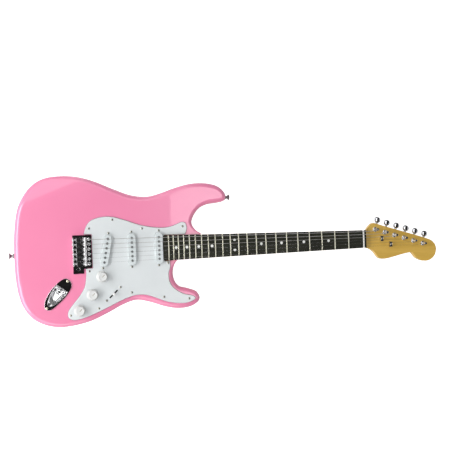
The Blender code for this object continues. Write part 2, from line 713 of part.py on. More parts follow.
def pickguard():
    made = piece("pickguard", prism(guard_outline(), GAP, GUARD_TOP), WHITE)
    for x, y, slant, _ in PICKUPS.values():
        opening = placed(stadium(COVER_LENGTH + 1.2, COVER_WIDTH + 1.2), (x, y), radians(slant))
        cut(made, prism(opening, -2, 5))
    for x, y in KNOBS.values():
        cut(made, rod((x, y, -2), (x, y, 5), BUSHING_RADIUS + 0.5, 12))
    cut(made, prism(placed(stadium(SWITCH_SLOT, 3.4, 3), SWITCH_CENTRE, SWITCH_ANGLE - pi / 2), -2, 5))


def pickup(name):
    """Cover shell over a bobbin; the pole tips stand through the cover's holes."""
    x, y, slant, spread = PICKUPS[name]
    turn = radians(slant)

    def ring(length, width, z):
        return at_height(placed(stadium(length, width, 5), (x, y), turn), z)

    wall = 2 * COVER_WALL
    rings = [ring(COVER_LENGTH - wall, COVER_WIDTH - wall, z) for z in (COVER_TOP - COVER_WALL, -6)]
    rings += [ring(COVER_LENGTH, COVER_WIDTH, z) for z in (-6, COVER_TOP - 1.3)]
    rings.append(ring(COVER_LENGTH - 0.8, COVER_WIDTH - 0.8, COVER_TOP - 0.35))
    rings.append(ring(COVER_LENGTH - 2.6, COVER_WIDTH - 2.6, COVER_TOP))
    cover = piece(f"pickup_cover_{name}", loft(rings), WHITE)
    coil = piece(f"pickup_coil_{name}", prism(placed(stadium(86, 20, 4), (x, y), turn), -8.5, -6.5), BLACK)
    fuse(coil, prism(placed(stadium(66, 14, 4), (x, y), turn), -8.0, 6.4))
    for number in range(STRING_COUNT):
        offset = spread * (0.5 - number / (STRING_COUNT - 1))
        px, py = x - offset * sin(turn), y + offset * cos(turn)
        cut(cover, rod((px, py, 4), (px, py, 12), POLE_RADIUS + 0.4))
        fuse(coil, rod((px, py, -14), (px, py, POLE_TOP), POLE_RADIUS, 6))


def knob(name):
    """Skirted knob, hollow below, on its potentiometer's shaft."""
    x, y = KNOBS[name]
    foot = GUARD_TOP + 0.8
    profile = [(SHAFT_RADIUS, -12), (SHAFT_RADIUS, 10), (8.4, 10), (9.4, foot), (KNOB_RADIUS, foot)]
    profile += [(KNOB_RADIUS, foot + 1.4), (10.6, foot + 3.6), (9.6, foot + KNOB_HEIGHT - 1.2)]
    profile.append((8.4, foot + KNOB_HEIGHT))
    piece(f"{name}_knob", turned(profile, 20, upright(x, y)), WHITE, pivot=(x, y, 0))


def pot(name):
    """Can below the guard, threaded bushing and nut through it, and a bore for the shaft."""
    x, y = KNOBS[name]
    bore = SHAFT_RADIUS + 0.35
    nut_foot = GUARD_TOP + GAP
    profile = [(bore, -13), (bore, 7), (BUSHING_RADIUS, 7), (BUSHING_RADIUS, nut_foot + 2.2)]
    profile += [(6.4, nut_foot + 2.2), (6.4, nut_foot), (BUSHING_RADIUS, nut_foot), (BUSHING_RADIUS, 0)]
    profile += [(12, 0), (12, -16)]
    piece(f"{name}_pot", turned(profile, 16, upright(x, y)), STEEL)


def switch_frame_matrix():
    """Local +X along the slot, +Y along the lever's axis."""
    return Matrix.Translation((*SWITCH_CENTRE, 0)) @ Matrix.Rotation(SWITCH_ANGLE, 4, "Z")


def turned_into_place(bm):
    bmesh.ops.transform(bm, matrix=switch_frame_matrix(), verts=bm.verts)
    return bm


def switch():
    """Five-way selector: slotted plate and two cheeks, a lever on a pin between them, and its tip."""
    frame = piece("switch_frame", turned_into_place(block((-27, -6.5, -1.2), (27, 6.5, 0))), STEEL)
    cut(frame, turned_into_place(block((-13, -2, -3), (13, 2, 2))))
    for low in (-5.2, 4.0):
        fuse(frame, turned_into_place(block((-11, low, -19), (11, low + 1.2, -0.6))))
    cut(frame, turned_into_place(rod((0, -8, SWITCH_PIVOT), (0, 8, SWITCH_PIVOT), 1.85)))
    pivot = (*SWITCH_CENTRE, SWITCH_PIVOT)
    bar = turned_into_place(block((-2.2, -0.8, -17), (2.2, 0.8, 10)))
    lever = piece("switch_lever", bar, STEEL, pivot=pivot)
    fuse(lever, turned_into_place(rod((0, -6.5, SWITCH_PIVOT), (0, 6.5, SWITCH_PIVOT), 1.5)))
    levels = ((3.0, 2.4, 5.6), (3.4, 2.7, 6.4), (2.7, 2.3, 10.5), (3.2, 2.5, 14.5), (2.4, 1.8, 15.6))
    rings = [at_height(rounded_rectangle((-a, -b), (a, b), 1.2, 2), z) for a, b, z in levels]
    tip = piece("switch_tip", turned_into_place(loft(rings)), WHITE, pivot=pivot)
    cut(tip, turned_into_place(block((-2.5, -1.1, 3), (2.5, 1.1, 10.3))))


# ---------------------------------------------------------------- vibrato bridge


def bridge_plate():
    """Flat plate with a knife edge at the pivot screws and a lip behind the saddles."""
    plan = [(-636, -36), (-636, 36), (PLATE_REAR, 36), (PLATE_REAR, -48), (-654, -48), (-654, -36)]
    pivot = (PIVOT_X, 0, GAP)
    made = piece("bridge_plate", prism([Vector(p) for p in plan], GAP, PLATE_TOP), CHROME, pivot, smooth=False)
    wedge = [(PIVOT_X, GAP), (PIVOT_X, -2), (-630, -2), (-630, GAP + 2.8)]
    cut(made, loft([[Vector((x, y, z)) for x, z in wedge] for y in (-50, 50)]))
    fuse(made, block((PLATE_REAR, -31.5, PLATE_TOP - 1), (PLATE_REAR + 2, 31.5, 9.5)))
    for number in range(1, STRING_COUNT + 1):
        hole_y = string_y(number, -SCALE_LENGTH)
        cut(made, rod((STRING_HOLE_X, hole_y, -2), (STRING_HOLE_X, hole_y, 5), 2.0))
        cut(made, rod((PIVOT_X, hole_y * 1.027, -2), (PIVOT_X, hole_y * 1.027, 5), 2.3))
    cut(made, rod((-665.8, -38.5, -2), (-665.8, -38.5, 5), 3.0))


def trem_block():
    pivot = (PIVOT_X, 0, GAP)
    made = piece("trem_block", block((-663, -34.5, BLOCK_BOTTOM), (-650, 34.5, 0)), STEEL, pivot, smooth=False)
    for number in range(1, STRING_COUNT + 1):
        frame = upright(STRING_HOLE_X, string_y(number, -SCALE_LENGTH))
        bore = [(4.2, BLOCK_BOTTOM - 2), (4.2, -13.2), (1.6, -13.2), (1.6, 3)]
        cut(made, turned(bore, 8, frame))


def saddle(number):
    """Bent steel: a slotted top with a nose for the string, a tab behind, and two height screws."""
    y = string_y(number, -SCALE_LENGTH)
    outer = [(-647.6, 9.0), (-647.8, 12.6), (-649.2, 14.2), (-651.0, SADDLE_TOP), (-667.5, 11.2), (-669.4, 9.6)]
    inner = [(-669.4, 3.6), (-667.6, 3.6), (-667.6, 9.2), (-651.2, 12.4), (-650.0, 11.8), (-649.6, 9.0)]
    rings = [[Vector((x, y + side, z)) for x, z in outer + inner] for side in (-4.95, 4.95)]
    made = piece(f"saddle_{number}", loft(rings), CHROME, pivot=(PIVOT_X, 0, GAP))
    cut(made, block((-661.5, y - 1.3, 8), (-652, y + 1.3, 17)))
    for side in (-3.3, 3.3):
        fuse(made, rod((-653.5, y + side, PLATE_TOP + GAP), (-653.5, y + side, 13.0), 1.3))


def trem_spring(number):
    y = 16.0 * (2 - number)
    profile = [(0.7, 0), (0.7, 4), (SPRING_RADIUS, 7), (SPRING_RADIUS, 62), (0.7, 65), (0.7, 71.5)]
    frame = axis_frame((-650 + GAP, y, SPRING_Z), (1, 0, 0))
    piece(f"trem_spring_{number}", turned(profile, 10, frame), STEEL)


def spring_claw():
    made = piece("spring_claw", block((CLAW_X - 2, -29, SPRING_Z - 5), (CLAW_X, 29, SPRING_Z + 4.5)), STEEL)
    for y in CLAW_SCREWS:
        fuse(made, rod((CLAW_X - 4.5, y, SPRING_Z), (CLAW_X - 1, y, SPRING_Z), 3.0))
        fuse(made, rod((CLAW_X - 1, y, SPRING_Z), (-536, y, SPRING_Z), 2.0))


def trem_cover():
    outline = rounded_rectangle((-694, -46), (-546, 46), 8)
    made = piece("trem_cover", prism(outline, FLOOR, BACK - GAP), WHITE)
    cut(made, prism(placed(stadium(66, 14), (-656.5, 0)), FLOOR - 2, BACK + 2))


# ---------------------------------------------------------------- jack and strap buttons


def jack_plate():
    outline = [(-700, -57.5), (-711, -65), (-721, -74), (-730, -85), (-737, -96.5), (-741, -108), (-741.5, -116)]
    outline += [(-738, -122), (-731, -123.8), (-723, -120.5), (-712, -111.5), (-700, -101), (-690, -89)]
    outline += [(-683.5, -78), (-682, -69), (-686, -60.5), (-693, -56.7)]
    made = piece("jack_plate", prism(smooth_outline(outline), GAP, JACK_PLATE_TOP), CHROME)
    fuse(made, jack_hollow(1.0, JACK_PLATE_TOP - 0.5))
    cut(made, jack_hollow(0.0, DISH_TOP))
    frame = jack_frame()
    cut(made, turned([(5.1, -4), (5.1, 4)], 10, frame))


def jack_socket():
    """Threaded socket: nut in the dish, bore for the plug, and the switch body behind the wall."""
    profile = [(3.2, -20), (3.2, 3.6), (4.7, 3.6), (4.7, 2.6), (6.0, 2.6), (6.0, 0.4), (4.7, 0.4), (4.7, -3.0)]
    profile += [(8.6, -3.0), (8.6, -23)]
    piece("jack_socket", turned(profile, 12, jack_frame()), STEEL)


def strap_button(name, origin, direction):
    profile = [(1.5, -20), (1.5, GAP), (5.2, GAP), (3.2, 3.0), (3.4, 6.0), (6.9, 8.6), (6.9, 10.2)]
    profile.append((4.6, STRAP_BUTTON_HEIGHT))
    piece(f"strap_button_{name}", turned(profile, 12, axis_frame(origin, direction)), CHROME)


# ---------------------------------------------------------------- the whole guitar


def main():
    for old in list(bpy.data.objects):
        bpy.data.objects.remove(old)
    outline = body_outline()
    low_x, high_x = BUTT_X - STRAP_BUTTON_HEIGHT, HEAD_TIP
    low_y, high_y = min(p.y for p in outline), max(p.y for p in outline)
    guitar = bpy.data.objects.new("guitar", None)
    guitar.location = Vector((-(low_x + high_x) / 2, -(low_y + high_y) / 2, -FLOOR)) * MM
    bpy.context.collection.objects.link(guitar)

    body()
    neck()
    truss_rod()
    fingerboard()
    nut()
    neck_plate()
    tuner_plate()
    for number in range(1, STRING_COUNT + 1):
        tuner_button(number)
        tuner_post(number)
        string(number)
        saddle(number)
    for number, (x, y) in enumerate(TREES, 1):
        string_tree(number, x, y)
    pickguard()
    for name in PICKUPS:
        pickup(name)
    for name in KNOBS:
        knob(name)
        pot(name)
    switch()
    bridge_plate()
    trem_block()
    for number in (1, 2, 3):
        trem_spring(number)
    spring_claw()
    trem_cover()
    jack_plate()
    jack_socket()
    for name, origin, direction in STRAP_BUTTONS:
        strap_button(name, origin, direction)


main()
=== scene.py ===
from math import atan2, copysign, cos, pi, radians, sin, sqrt

import bmesh
import bpy
from mathutils import Matrix, Vector

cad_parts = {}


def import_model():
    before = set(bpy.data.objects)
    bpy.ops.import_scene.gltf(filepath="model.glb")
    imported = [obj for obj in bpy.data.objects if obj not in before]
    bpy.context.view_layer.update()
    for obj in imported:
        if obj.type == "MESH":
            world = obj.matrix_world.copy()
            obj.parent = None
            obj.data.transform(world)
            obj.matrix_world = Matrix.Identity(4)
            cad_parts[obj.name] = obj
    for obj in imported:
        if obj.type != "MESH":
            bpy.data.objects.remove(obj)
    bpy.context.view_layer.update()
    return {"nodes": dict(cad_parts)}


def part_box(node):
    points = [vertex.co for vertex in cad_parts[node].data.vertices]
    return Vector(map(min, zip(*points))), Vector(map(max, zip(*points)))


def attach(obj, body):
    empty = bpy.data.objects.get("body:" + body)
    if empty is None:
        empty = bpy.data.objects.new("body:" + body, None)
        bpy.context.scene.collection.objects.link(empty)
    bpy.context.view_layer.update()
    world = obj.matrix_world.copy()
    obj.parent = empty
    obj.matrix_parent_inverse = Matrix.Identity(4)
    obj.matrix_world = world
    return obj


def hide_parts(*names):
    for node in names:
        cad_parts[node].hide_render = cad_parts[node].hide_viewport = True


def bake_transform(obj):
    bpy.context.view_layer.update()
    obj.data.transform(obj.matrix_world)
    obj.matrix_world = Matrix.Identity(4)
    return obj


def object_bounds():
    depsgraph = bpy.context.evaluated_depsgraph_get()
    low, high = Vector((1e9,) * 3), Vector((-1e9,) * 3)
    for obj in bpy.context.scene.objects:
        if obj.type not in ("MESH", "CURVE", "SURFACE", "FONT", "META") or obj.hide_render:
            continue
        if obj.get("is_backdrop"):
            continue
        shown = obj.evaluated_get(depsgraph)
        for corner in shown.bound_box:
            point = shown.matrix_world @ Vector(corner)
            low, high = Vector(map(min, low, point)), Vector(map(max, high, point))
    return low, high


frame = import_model()

# Lengths below are millimetres in the guitar's design frame: x = 0 at the nut with the body towards -X,
# y = 0 on the centre line with the bass side towards +Y, z = 0 on the body's top.
MM = 0.001
GAP = 0.3
NUT_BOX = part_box("nut")
ORIGIN = Vector((NUT_BOX[0].x, (NUT_BOX[0].y + NUT_BOX[1].y) / 2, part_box("pickguard")[0].z - GAP * MM))
PLACE = Matrix.Translation(ORIGIN) @ Matrix.Scale(MM, 4)
DOWNWARD = Matrix.Rotation(pi, 4, "X")

ROOT = "guitar_body"
BRIDGE = "bridge"
STRINGS = range(1, 7)

SCALE_LENGTH = 648.0
FRET_COUNT = 22
NUT_WIDTH = 42.0
LAST_FRET_WIDTH = 56.1
NUT_SPREAD = 35.0
BRIDGE_SPREAD = 52.0
BODY_DEPTH = 45.0
BACK = -BODY_DEPTH
FLOOR = BACK - GAP - 2.0
EDGE_RADIUS = 11.0
FOREARM_X = -740.0
FOREARM_START = 96.0
FOREARM_ANGLE = radians(21.8)
FOREARM_SLOPE = 0.3
BELLY_X = -545.0
BELLY_REACH = 140.0
BELLY_START = 58.0
BELLY_SLOPE = 0.32
BOARD_TOP = 9.5
BOARD_BOTTOM = 3.5
BOARD_END = -478.0
BOARD_RADIUS = 241.0
HEEL_END = -474.0
HEAD_FACE = -1.0
HEAD_DEPTH = 14.3
HEAD_TIP = 195.6
NUT_THICKNESS = 3.4
NUT_TOP = 11.0
GUARD_TOP = 2.5
GUARD_SCREWS = (
    (-640.7, 50.0), (-589.3, 67.3), (-524.2, 45.5), (-432.2, 46.9), (-468.2, -33.7), (-423.5, -115.6),
    (-480.3, -108.6), (-551.8, -94.8), (-625.1, -125.4), (-686.4, -137.1), (-642.6, -43.6),
)
# Each pickup's centre, its slant in degrees and the reach of its row of poles.
PICKUPS = {
    "neck": (-487.9, 0.6, 0.0, 48.0),
    "middle": (-548.2, 0.3, 0.0, 50.0),
    "bridge": (-605.2, 0.0, -10.6, 52.0),
}
PICKUP_SCREWS = {
    "neck": ((-487.1, 39.6), (-489.1, -37.5)),
    "middle": ((-547.9, 39.1), (-549.0, -38.3)),
    "bridge": ((-598.4, 38.1), (-612.9, -37.9)),
}
COVER_LENGTH = 70.0
COVER_WIDTH = 18.4
COVER_TOP = 8.6
POLE_RADIUS = 2.4
FLUTE_DEPTH = 0.8
FLUTE_COUNT = 18
KNOBS = {"volume": (-615.8, -56.4), "neck_tone": (-638.0, -95.1), "middle_tone": (-666.9, -127.7)}
SWITCH_CENTRE = (-591.8, -96.0)
SWITCH_ANGLE = radians(42.5)
SWITCH_SCREWS = ((-576.5, -81.7), (-607.6, -109.7))
PIVOT_X = -642.0
PIVOT_SPREAD = 1.027
ARM_HOLE = (-665.8, -38.5)
PLATE_TOP = 2.5
PLATE_REAR = -677.0
SADDLE_TOP = 14.4
GRUB_X = -653.5
GRUB_SIDES = (-3.4, 3.4)
STRING_HOLE_X = -657.0
SPRING_Z = -35.5
SPRING_RADIUS = 3.8
BLOCK_FRONT = -650.0
CLAW_X = -574.0
JACK_PLATE_TOP = 1.8
DISH_TOP = 2.8
DISH_DEEP = -12.5
JACK_WALL_RUN = 13.0
DISH_END = ((-713.8, -70.0), (-691.6, -86.5))
JACK_ANGLE = atan2(DISH_END[1][0] - DISH_END[0][0], DISH_END[0][1] - DISH_END[1][1])
STRAP_BUTTONS = (
    ("end", (-800.5, -3.0, -BODY_DEPTH / 2), (-1, 0, 0)),
    ("horn", (-326.4, 110.0, -BODY_DEPTH / 2), (1, 0, 0)),
)
POST_PITCH = 25.8
FIRST_POST = (36.9, 21.5)
ROW_ANGLE = radians(-17.2)
WORM_LEAD = 2.6
WHEEL_TEETH = 14
WHEEL_RADIUS = WORM_LEAD * WHEEL_TEETH / (2 * pi)
WORM_OFFSET = 8.5
WORM_RADIUS = WORM_OFFSET - WHEEL_RADIUS
WORM_Z = -21.6
POST_TOP = 15.0
POST_WAIST = 2.7
STRING_RADII = (0.53, 0.42, 0.33, 0.22, 0.17, 0.13)
WOUND_STRINGS = 3
TREES = ((50.1, -0.8), (72.2, -15.4))
TREE_Z = 5.6


# ---------------------------------------------------------------- outlines


def smooth_outline(points, steps=8):
    """A closed Catmull-Rom curve through the points; a point given twice is a sharp corner."""
    corners = [Vector(p) for p in points]
    fine = []
    for i in range(len(corners)):
        p0, p1, p2, p3 = (corners[(i + k) % len(corners)] for k in (-1, 0, 1, 2))
        if (p2 - p1).length < 1e-6:
            continue
        fine += [catmull(p0, p1, p2, p3, step / steps) for step in range(steps)]
    return fine


def catmull(p0, p1, p2, p3, t):
    cubic = (p1 * 3 - p0 - p2 * 3 + p3) * t**3
    return (p1 * 2 + (p2 - p0) * t + (p0 * 2 - p1 * 5 + p2 * 4 - p3) * t**2 + cubic) / 2


def smooth_path(points, steps=6):
    """An open Catmull-Rom curve through the points."""
    ends = [Vector(p) for p in points]
    ends = [ends[0] * 2 - ends[1]] + ends + [ends[-1] * 2 - ends[-2]]
    fine = []
    for i in range(1, len(ends) - 2):
        fine += [catmull(*ends[i - 1 : i + 3], step / steps) for step in range(steps)]
    return fine + [ends[-2]]


def smooth_value(table, x):
    """A smooth reading of (x, value) pairs."""
    if x <= table[0][0]:
        return table[0][1]
    for i in range(len(table) - 1):
        (x1, v1), (x2, v2) = table[i], table[i + 1]
        if x <= x2:
            (x0, v0), (x3, v3) = table[max(0, i - 1)], table[min(len(table) - 1, i + 2)]
            t, span = (x - x1) / (x2 - x1), x2 - x1
            slope1 = (v2 - v0) / (x2 - x0) * span
            slope2 = (v3 - v1) / (x3 - x1) * span
            rise = v2 - v1
            bend = (3 * rise - 2 * slope1 - slope2) * t**2 + (slope1 + slope2 - 2 * rise) * t**3
            return v1 + slope1 * t + bend
    return table[-1][1]


def between(table, x):
    """Straight-line reading of (x, value) pairs."""
    for (x0, v0), (x1, v1) in zip(table, table[1:]):
        if x <= x1:
            return v0 + (v1 - v0) * max(0.0, x - x0) / (x1 - x0)
    return table[-1][1]


def counter_clockwise(outline):
    area = sum(p.cross(q) for p, q in zip(outline, outline[1:] + outline[:1]))
    return outline if area > 0 else outline[::-1]


def inset(outline, distance_at):
    """The counter-clockwise outline moved inwards by distance_at(point)."""
    moved = []
    for i, point in enumerate(outline):
        before = (point - outline[i - 1]).normalized()
        after = (outline[(i + 1) % len(outline)] - point).normalized()
        along = (before + after).normalized()
        moved.append(point + Vector((-along.y, along.x)) * distance_at(point) / max(0.6, along.dot(after)))
    return moved


def contains(outline, point):
    """Whether the closed outline runs round the point, seen from above."""
    inside = False
    for p, q in zip(outline, outline[1:] + outline[:1]):
        if (p.y > point.y) != (q.y > point.y) and point.x < p.x + (point.y - p.y) / (q.y - p.y) * (q.x - p.x):
            inside = not inside
    return inside


def stadium(length, width, steps=16):
    """A slot outline with round ends, its length along y."""
    radius = width / 2
    turns = [pi * k / steps for k in range(steps + 1)]
    top = [Vector((radius * cos(a), length / 2 - radius + radius * sin(a))) for a in turns]
    return top + [-p for p in top]


def rounded_rectangle(low, high, radius, steps=6):
    corners = (
        (high[0] - radius, high[1] - radius), (low[0] + radius, high[1] - radius),
        (low[0] + radius, low[1] + radius), (high[0] - radius, low[1] + radius),
    )
    points = []
    for quarter, (x, y) in enumerate(corners):
        turns = [pi / 2 * (quarter + k / steps) for k in range(steps + 1)]
        points += [Vector((x + radius * cos(a), y + radius * sin(a))) for a in turns]
    return points


def placed(outline, centre, angle=0.0):
    turn = Matrix.Rotation(angle, 2)
    return [turn @ p + Vector(centre) for p in outline]


def world(point):
    return PLACE @ Vector(point)


def at_height(outline, z):
    return [Vector((p.x, p.y, z)) for p in outline]


def full_turn(count):
    return [2 * pi * k / count for k in range(count)]


# ---------------------------------------------------------------- solids


def loft(rings, closed_ends=True):
    """A solid through rings of equal point counts, with flat ends."""
    bm = bmesh.new()
    rows = [[bm.verts.new(p) for p in ring] for ring in rings]
    for low, high in zip(rows, rows[1:]):
        for i in range(len(low)):
            j = (i + 1) % len(low)
            bm.faces.new((low[i], low[j], high[j], high[i]))
    if closed_ends:
        bm.faces.new(rows[0][::-1])
        bm.faces.new(rows[-1])
    bmesh.ops.recalc_face_normals(bm, faces=bm.faces)
    return bm


def prism(outline, low, high):
    return loft([at_height(outline, low), at_height(outline, high)])


def rounded_prism(outline, low, high, top=0.0, foot=0.0, steps=4):
    """A prism whose upper and lower edges are rounded to the given radii."""
    outline = counter_clockwise(outline)
    rings = []
    for k in range(steps + 1):
        a = pi / 2 * k / steps
        if foot or k == steps:
            ring = inset(outline, lambda p, a=a: foot * (1 - sin(a)))
            rings.append(at_height(ring, low + foot * (1 - cos(a))))
    for k in range(steps + 1):
        a = pi / 2 * k / steps
        if top or k == 0:
            ring = inset(outline, lambda p, a=a: top * (1 - cos(a)))
            rings.append(at_height(ring, high - top * (1 - sin(a))))
    return loft(rings)


def block(low, high):
    corners = [(low[0], low[1]), (high[0], low[1]), (high[0], high[1]), (low[0], high[1])]
    return prism([Vector(c) for c in corners], low[2], high[2])


def turned(profile, segments=32, place=Matrix.Identity(4)):
    """A turned solid from (radius, height) pairs about the place's local +Z."""
    angles = full_turn(segments)
    return loft([[place @ Vector((r * cos(a), r * sin(a), h)) for a in angles] for r, h in profile])


def axis_place(origin, direction):
    return Matrix.Translation(origin) @ Vector(direction).to_track_quat("Z", "Y").to_matrix().to_4x4()


def rod(start, end, radius, segments=24):
    start, end = Vector(start), Vector(end)
    return turned([(radius, 0), (radius, (end - start).length)], segments, axis_place(start, end - start))


def pin(x, y, low, high, radius, segments=24):
    return rod((x, y, low), (x, y, high), radius, segments)


def tube(path, radius, segments=10, side=Vector((0, 1, 0))):
    """A round tube along the path, its frame carried along without twisting."""
    path = [Vector(p) for p in path]
    rings = []
    for i, centre in enumerate(path):
        along = (path[min(i + 1, len(path) - 1)] - path[max(i - 1, 0)]).normalized()
        side = (side - along * side.dot(along)).normalized()
        up = along.cross(side)
        rings.append([centre + (side * cos(a) + up * sin(a)) * radius for a in full_turn(segments)])
    return loft(rings)


def helix(place, radius, low, high, turns, steps=16):
    """Points of a helix about the place's local +Z."""
    count = int(turns * steps)
    points = []
    for k in range(count + 1):
        a = 2 * pi * k / steps
        points.append(place @ Vector((radius * cos(a), radius * sin(a), low + (high - low) * k / count)))
    return points


def gather(*shapes):
    """Several solids as one mesh."""
    whole = bmesh.new()
    for shape in shapes:
        mesh = bpy.data.meshes.new("part")
        shape.to_mesh(mesh)
        shape.free()
        whole.from_mesh(mesh)
        bpy.data.meshes.remove(mesh)
    return whole


def moved(bm, matrix):
    bmesh.ops.transform(bm, matrix=matrix, verts=bm.verts)
    return bm


def plain_object(name, bm):
    moved(bm, PLACE)
    mesh = bpy.data.meshes.new(name)
    bm.to_mesh(mesh)
    bm.free()
    made = bpy.data.objects.new(name, mesh)
    bpy.context.scene.collection.objects.link(made)
    return made


def apply_modifiers(made):
    bpy.context.view_layer.update()
    result = bpy.data.meshes.new_from_object(made.evaluated_get(bpy.context.evaluated_depsgraph_get()))
    old = made.data
    made.modifiers.clear()
    made.data = result
    result.name = made.name
    bpy.data.meshes.remove(old)


def model(name, bm, cuts=(), joins=(), bevel=0.0, sharp=35, even=True):
    """An object from a solid, with Booleans, small bevels and normals that keep flat faces flat."""
    made = plain_object(name, bm)
    tools = []
    for operation, shapes in (("UNION", joins), ("DIFFERENCE", cuts)):
        for number, shape in enumerate(shapes):
            tool = plain_object(f"{name}_tool_{operation}_{number}", shape)
            tools.append(tool)
            modifier = made.modifiers.new(tool.name, "BOOLEAN")
            modifier.operation = operation
            modifier.object = tool
    if bevel:
        rounding = made.modifiers.new("bevel", "BEVEL")
        rounding.width = bevel * MM
        rounding.segments = 2
        rounding.limit_method = "ANGLE"
        rounding.angle_limit = radians(40)
        rounding.use_clamp_overlap = True
    if tools or bevel:
        apply_modifiers(made)
    for tool in tools:
        bpy.data.objects.remove(tool)
    made.data.shade_smooth()
    made.data.set_sharp_from_angle(angle=radians(sharp))
    if even:
        made.modifiers.new("normals", "WEIGHTED_NORMAL").keep_sharp = True
        apply_modifiers(made)
    return made


def show(made, body, slot, *looks, replaces=()):
    """Gives a finished piece its looks and the body that it rides on; the slot is not used."""
    made.data.materials.clear()
    for look in looks:
        made.data.materials.append(look)
    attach(made, body)
    if replaces:
        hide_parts(*replaces)


def piece(name, shape, body, slot, *looks, replaces=(), **making):
    """Models a solid and shows it on its body."""
    made = model(name, shape, **making)
    show(made, body, slot, *looks, replaces=replaces)
    return made


# ---------------------------------------------------------------- materials


def node(tree, kind, inputs=None, **settings):
    made = tree.nodes.new(kind)
    for key, value in settings.items():
        setattr(made, key, value)
    for key, value in (inputs or {}).items():
        if isinstance(value, bpy.types.NodeSocket):
            tree.links.new(value, made.inputs[key])
        else:
            made.inputs[key].default_value = value
    return made


def coordinates(tree, scale):
    where = node(tree, "ShaderNodeTexCoord").outputs["Object"]
    return node(tree, "ShaderNodeMapping", {"Vector": where, "Scale": scale}).outputs["Vector"]


def noise(tree, scale, detail=3.0, roughness=0.5, distortion=0.0, stretch=(1, 1, 1)):
    inputs = {"Vector": coordinates(tree, stretch), "Scale": scale, "Detail": detail, "Roughness": roughness}
    inputs["Distortion"] = distortion
    return node(tree, "ShaderNodeTexNoise", inputs).outputs["Fac"]


def ramp(tree, factor, *stops):
    """A colour ramp from (position, colour) pairs, in order."""
    made = node(tree, "ShaderNodeValToRGB", {"Fac": factor})
    elements = made.color_ramp.elements
    while len(elements) < len(stops):
        elements.new(0.5)
    for element, (position, colour) in zip(elements, stops):
        element.position = position
        element.color = (*colour, 1)
    return made.outputs["Color"]


def grey(value):
    return (value, value, value)


def spread(tree, factor, low, high):
    """The factor's middle range mapped to low..high."""
    inputs = {"Value": factor, "From Min": 0.3, "From Max": 0.7, "To Min": low, "To Max": high}
    return node(tree, "ShaderNodeMapRange", inputs).outputs["Result"]


def bump(tree, height, strength, distance):
    inputs = {"Height": height, "Strength": strength, "Distance": distance}
    return node(tree, "ShaderNodeBump", inputs).outputs["Normal"]


def tint(tree, factor, low, high):
    """The factor's middle range mapped to a colour from low to high."""
    return ramp(tree, factor, (0.3, low), (0.7, high))


def surface(name, colour, roughness, relief, **fixed):
    """A Principled material made of layers, with any other sockets set to fixed values.

    A layer is a function of the tree, or the settings of its noise followed by two values: the first and last
    colour, the lowest and highest roughness, or the relief's strength and distance. A layer may be None.
    """
    made = bpy.data.materials.new(name)
    made.use_nodes = True
    tree = made.node_tree
    shader = tree.nodes["Principled BSDF"]
    layers = (("Base Color", colour, tint), ("Roughness", roughness, spread), ("Normal", relief, bump))
    for key, layer, mapped in layers:
        if callable(layer):
            tree.links.new(layer(tree), shader.inputs[key])
        elif layer:
            tree.links.new(mapped(tree, noise(tree, *layer[0]), *layer[1:]), shader.inputs[key])
    for key, value in fixed.items():
        shader.inputs[key.replace("_", " ")].default_value = value
    return made


def maple_colour(tree):
    """Streaks along the neck over wide, faint bands."""
    streaks = noise(tree, 30, 5, 0.6, 0.4, (0.22, 3.2, 3.2))
    wide = noise(tree, 9, 2, 0.5, 0.3, (0.35, 2.4, 2.4))
    dark, mid, pale = (0.70, 0.43, 0.076), (0.785, 0.495, 0.095), (0.85, 0.545, 0.122)
    grain = ramp(tree, streaks, (0.3, dark), (0.52, mid), (0.75, pale))
    inputs = {"Factor": 1.0, "A": grain, "B": tint(tree, wide, grey(0.9), grey(1.0))}
    return node(tree, "ShaderNodeMix", inputs, data_type="RGBA", blend_type="MULTIPLY").outputs["Result"]


def board_colour(tree):
    streaks = noise(tree, 40, 6, 0.65, 0.5, (0.16, 5, 3))
    dark, mid, pale = (0.007, 0.008, 0.005), (0.018, 0.019, 0.012), (0.042, 0.041, 0.028)
    return ramp(tree, streaks, (0.3, dark), (0.5, mid), (0.75, pale))


def board_pores(tree):
    pores = noise(tree, 300, 5, 0.7, 0, (0.08, 4, 3))
    return bump(tree, ramp(tree, pores, (0.38, grey(0)), (0.47, grey(1))), 0.12, 0.0002)


def wrap_ridges(tree):
    """Fine ridges across a wound string."""
    bands = node(tree, "ShaderNodeTexWave", {"Vector": coordinates(tree, (1, 0.1, 0.1)), "Scale": 640.0})
    return bump(tree, bands.outputs["Fac"], 0.8, 0.0003)


def plastic(name, low, high, roughness=(0.22, 0.34), bumpiness=0.03):
    return surface(name, ((28, 4), low, high), ((70, 4), *roughness), ((600, 3), bumpiness, 0.0003))


def metal(name, low, high, roughness, grain=(1, 1, 1), fineness=160, bumpiness=0.02):
    """Plated or bare metal; a grain stretched one way looks brushed."""
    rough = ((fineness, 5, 0.6, 0, grain), *roughness)
    relief = ((fineness * 4, 3, 0.6, 0, grain), bumpiness, 0.0001)
    return surface(name, ((60, 3), low, high), rough, relief, Metallic=1.0)


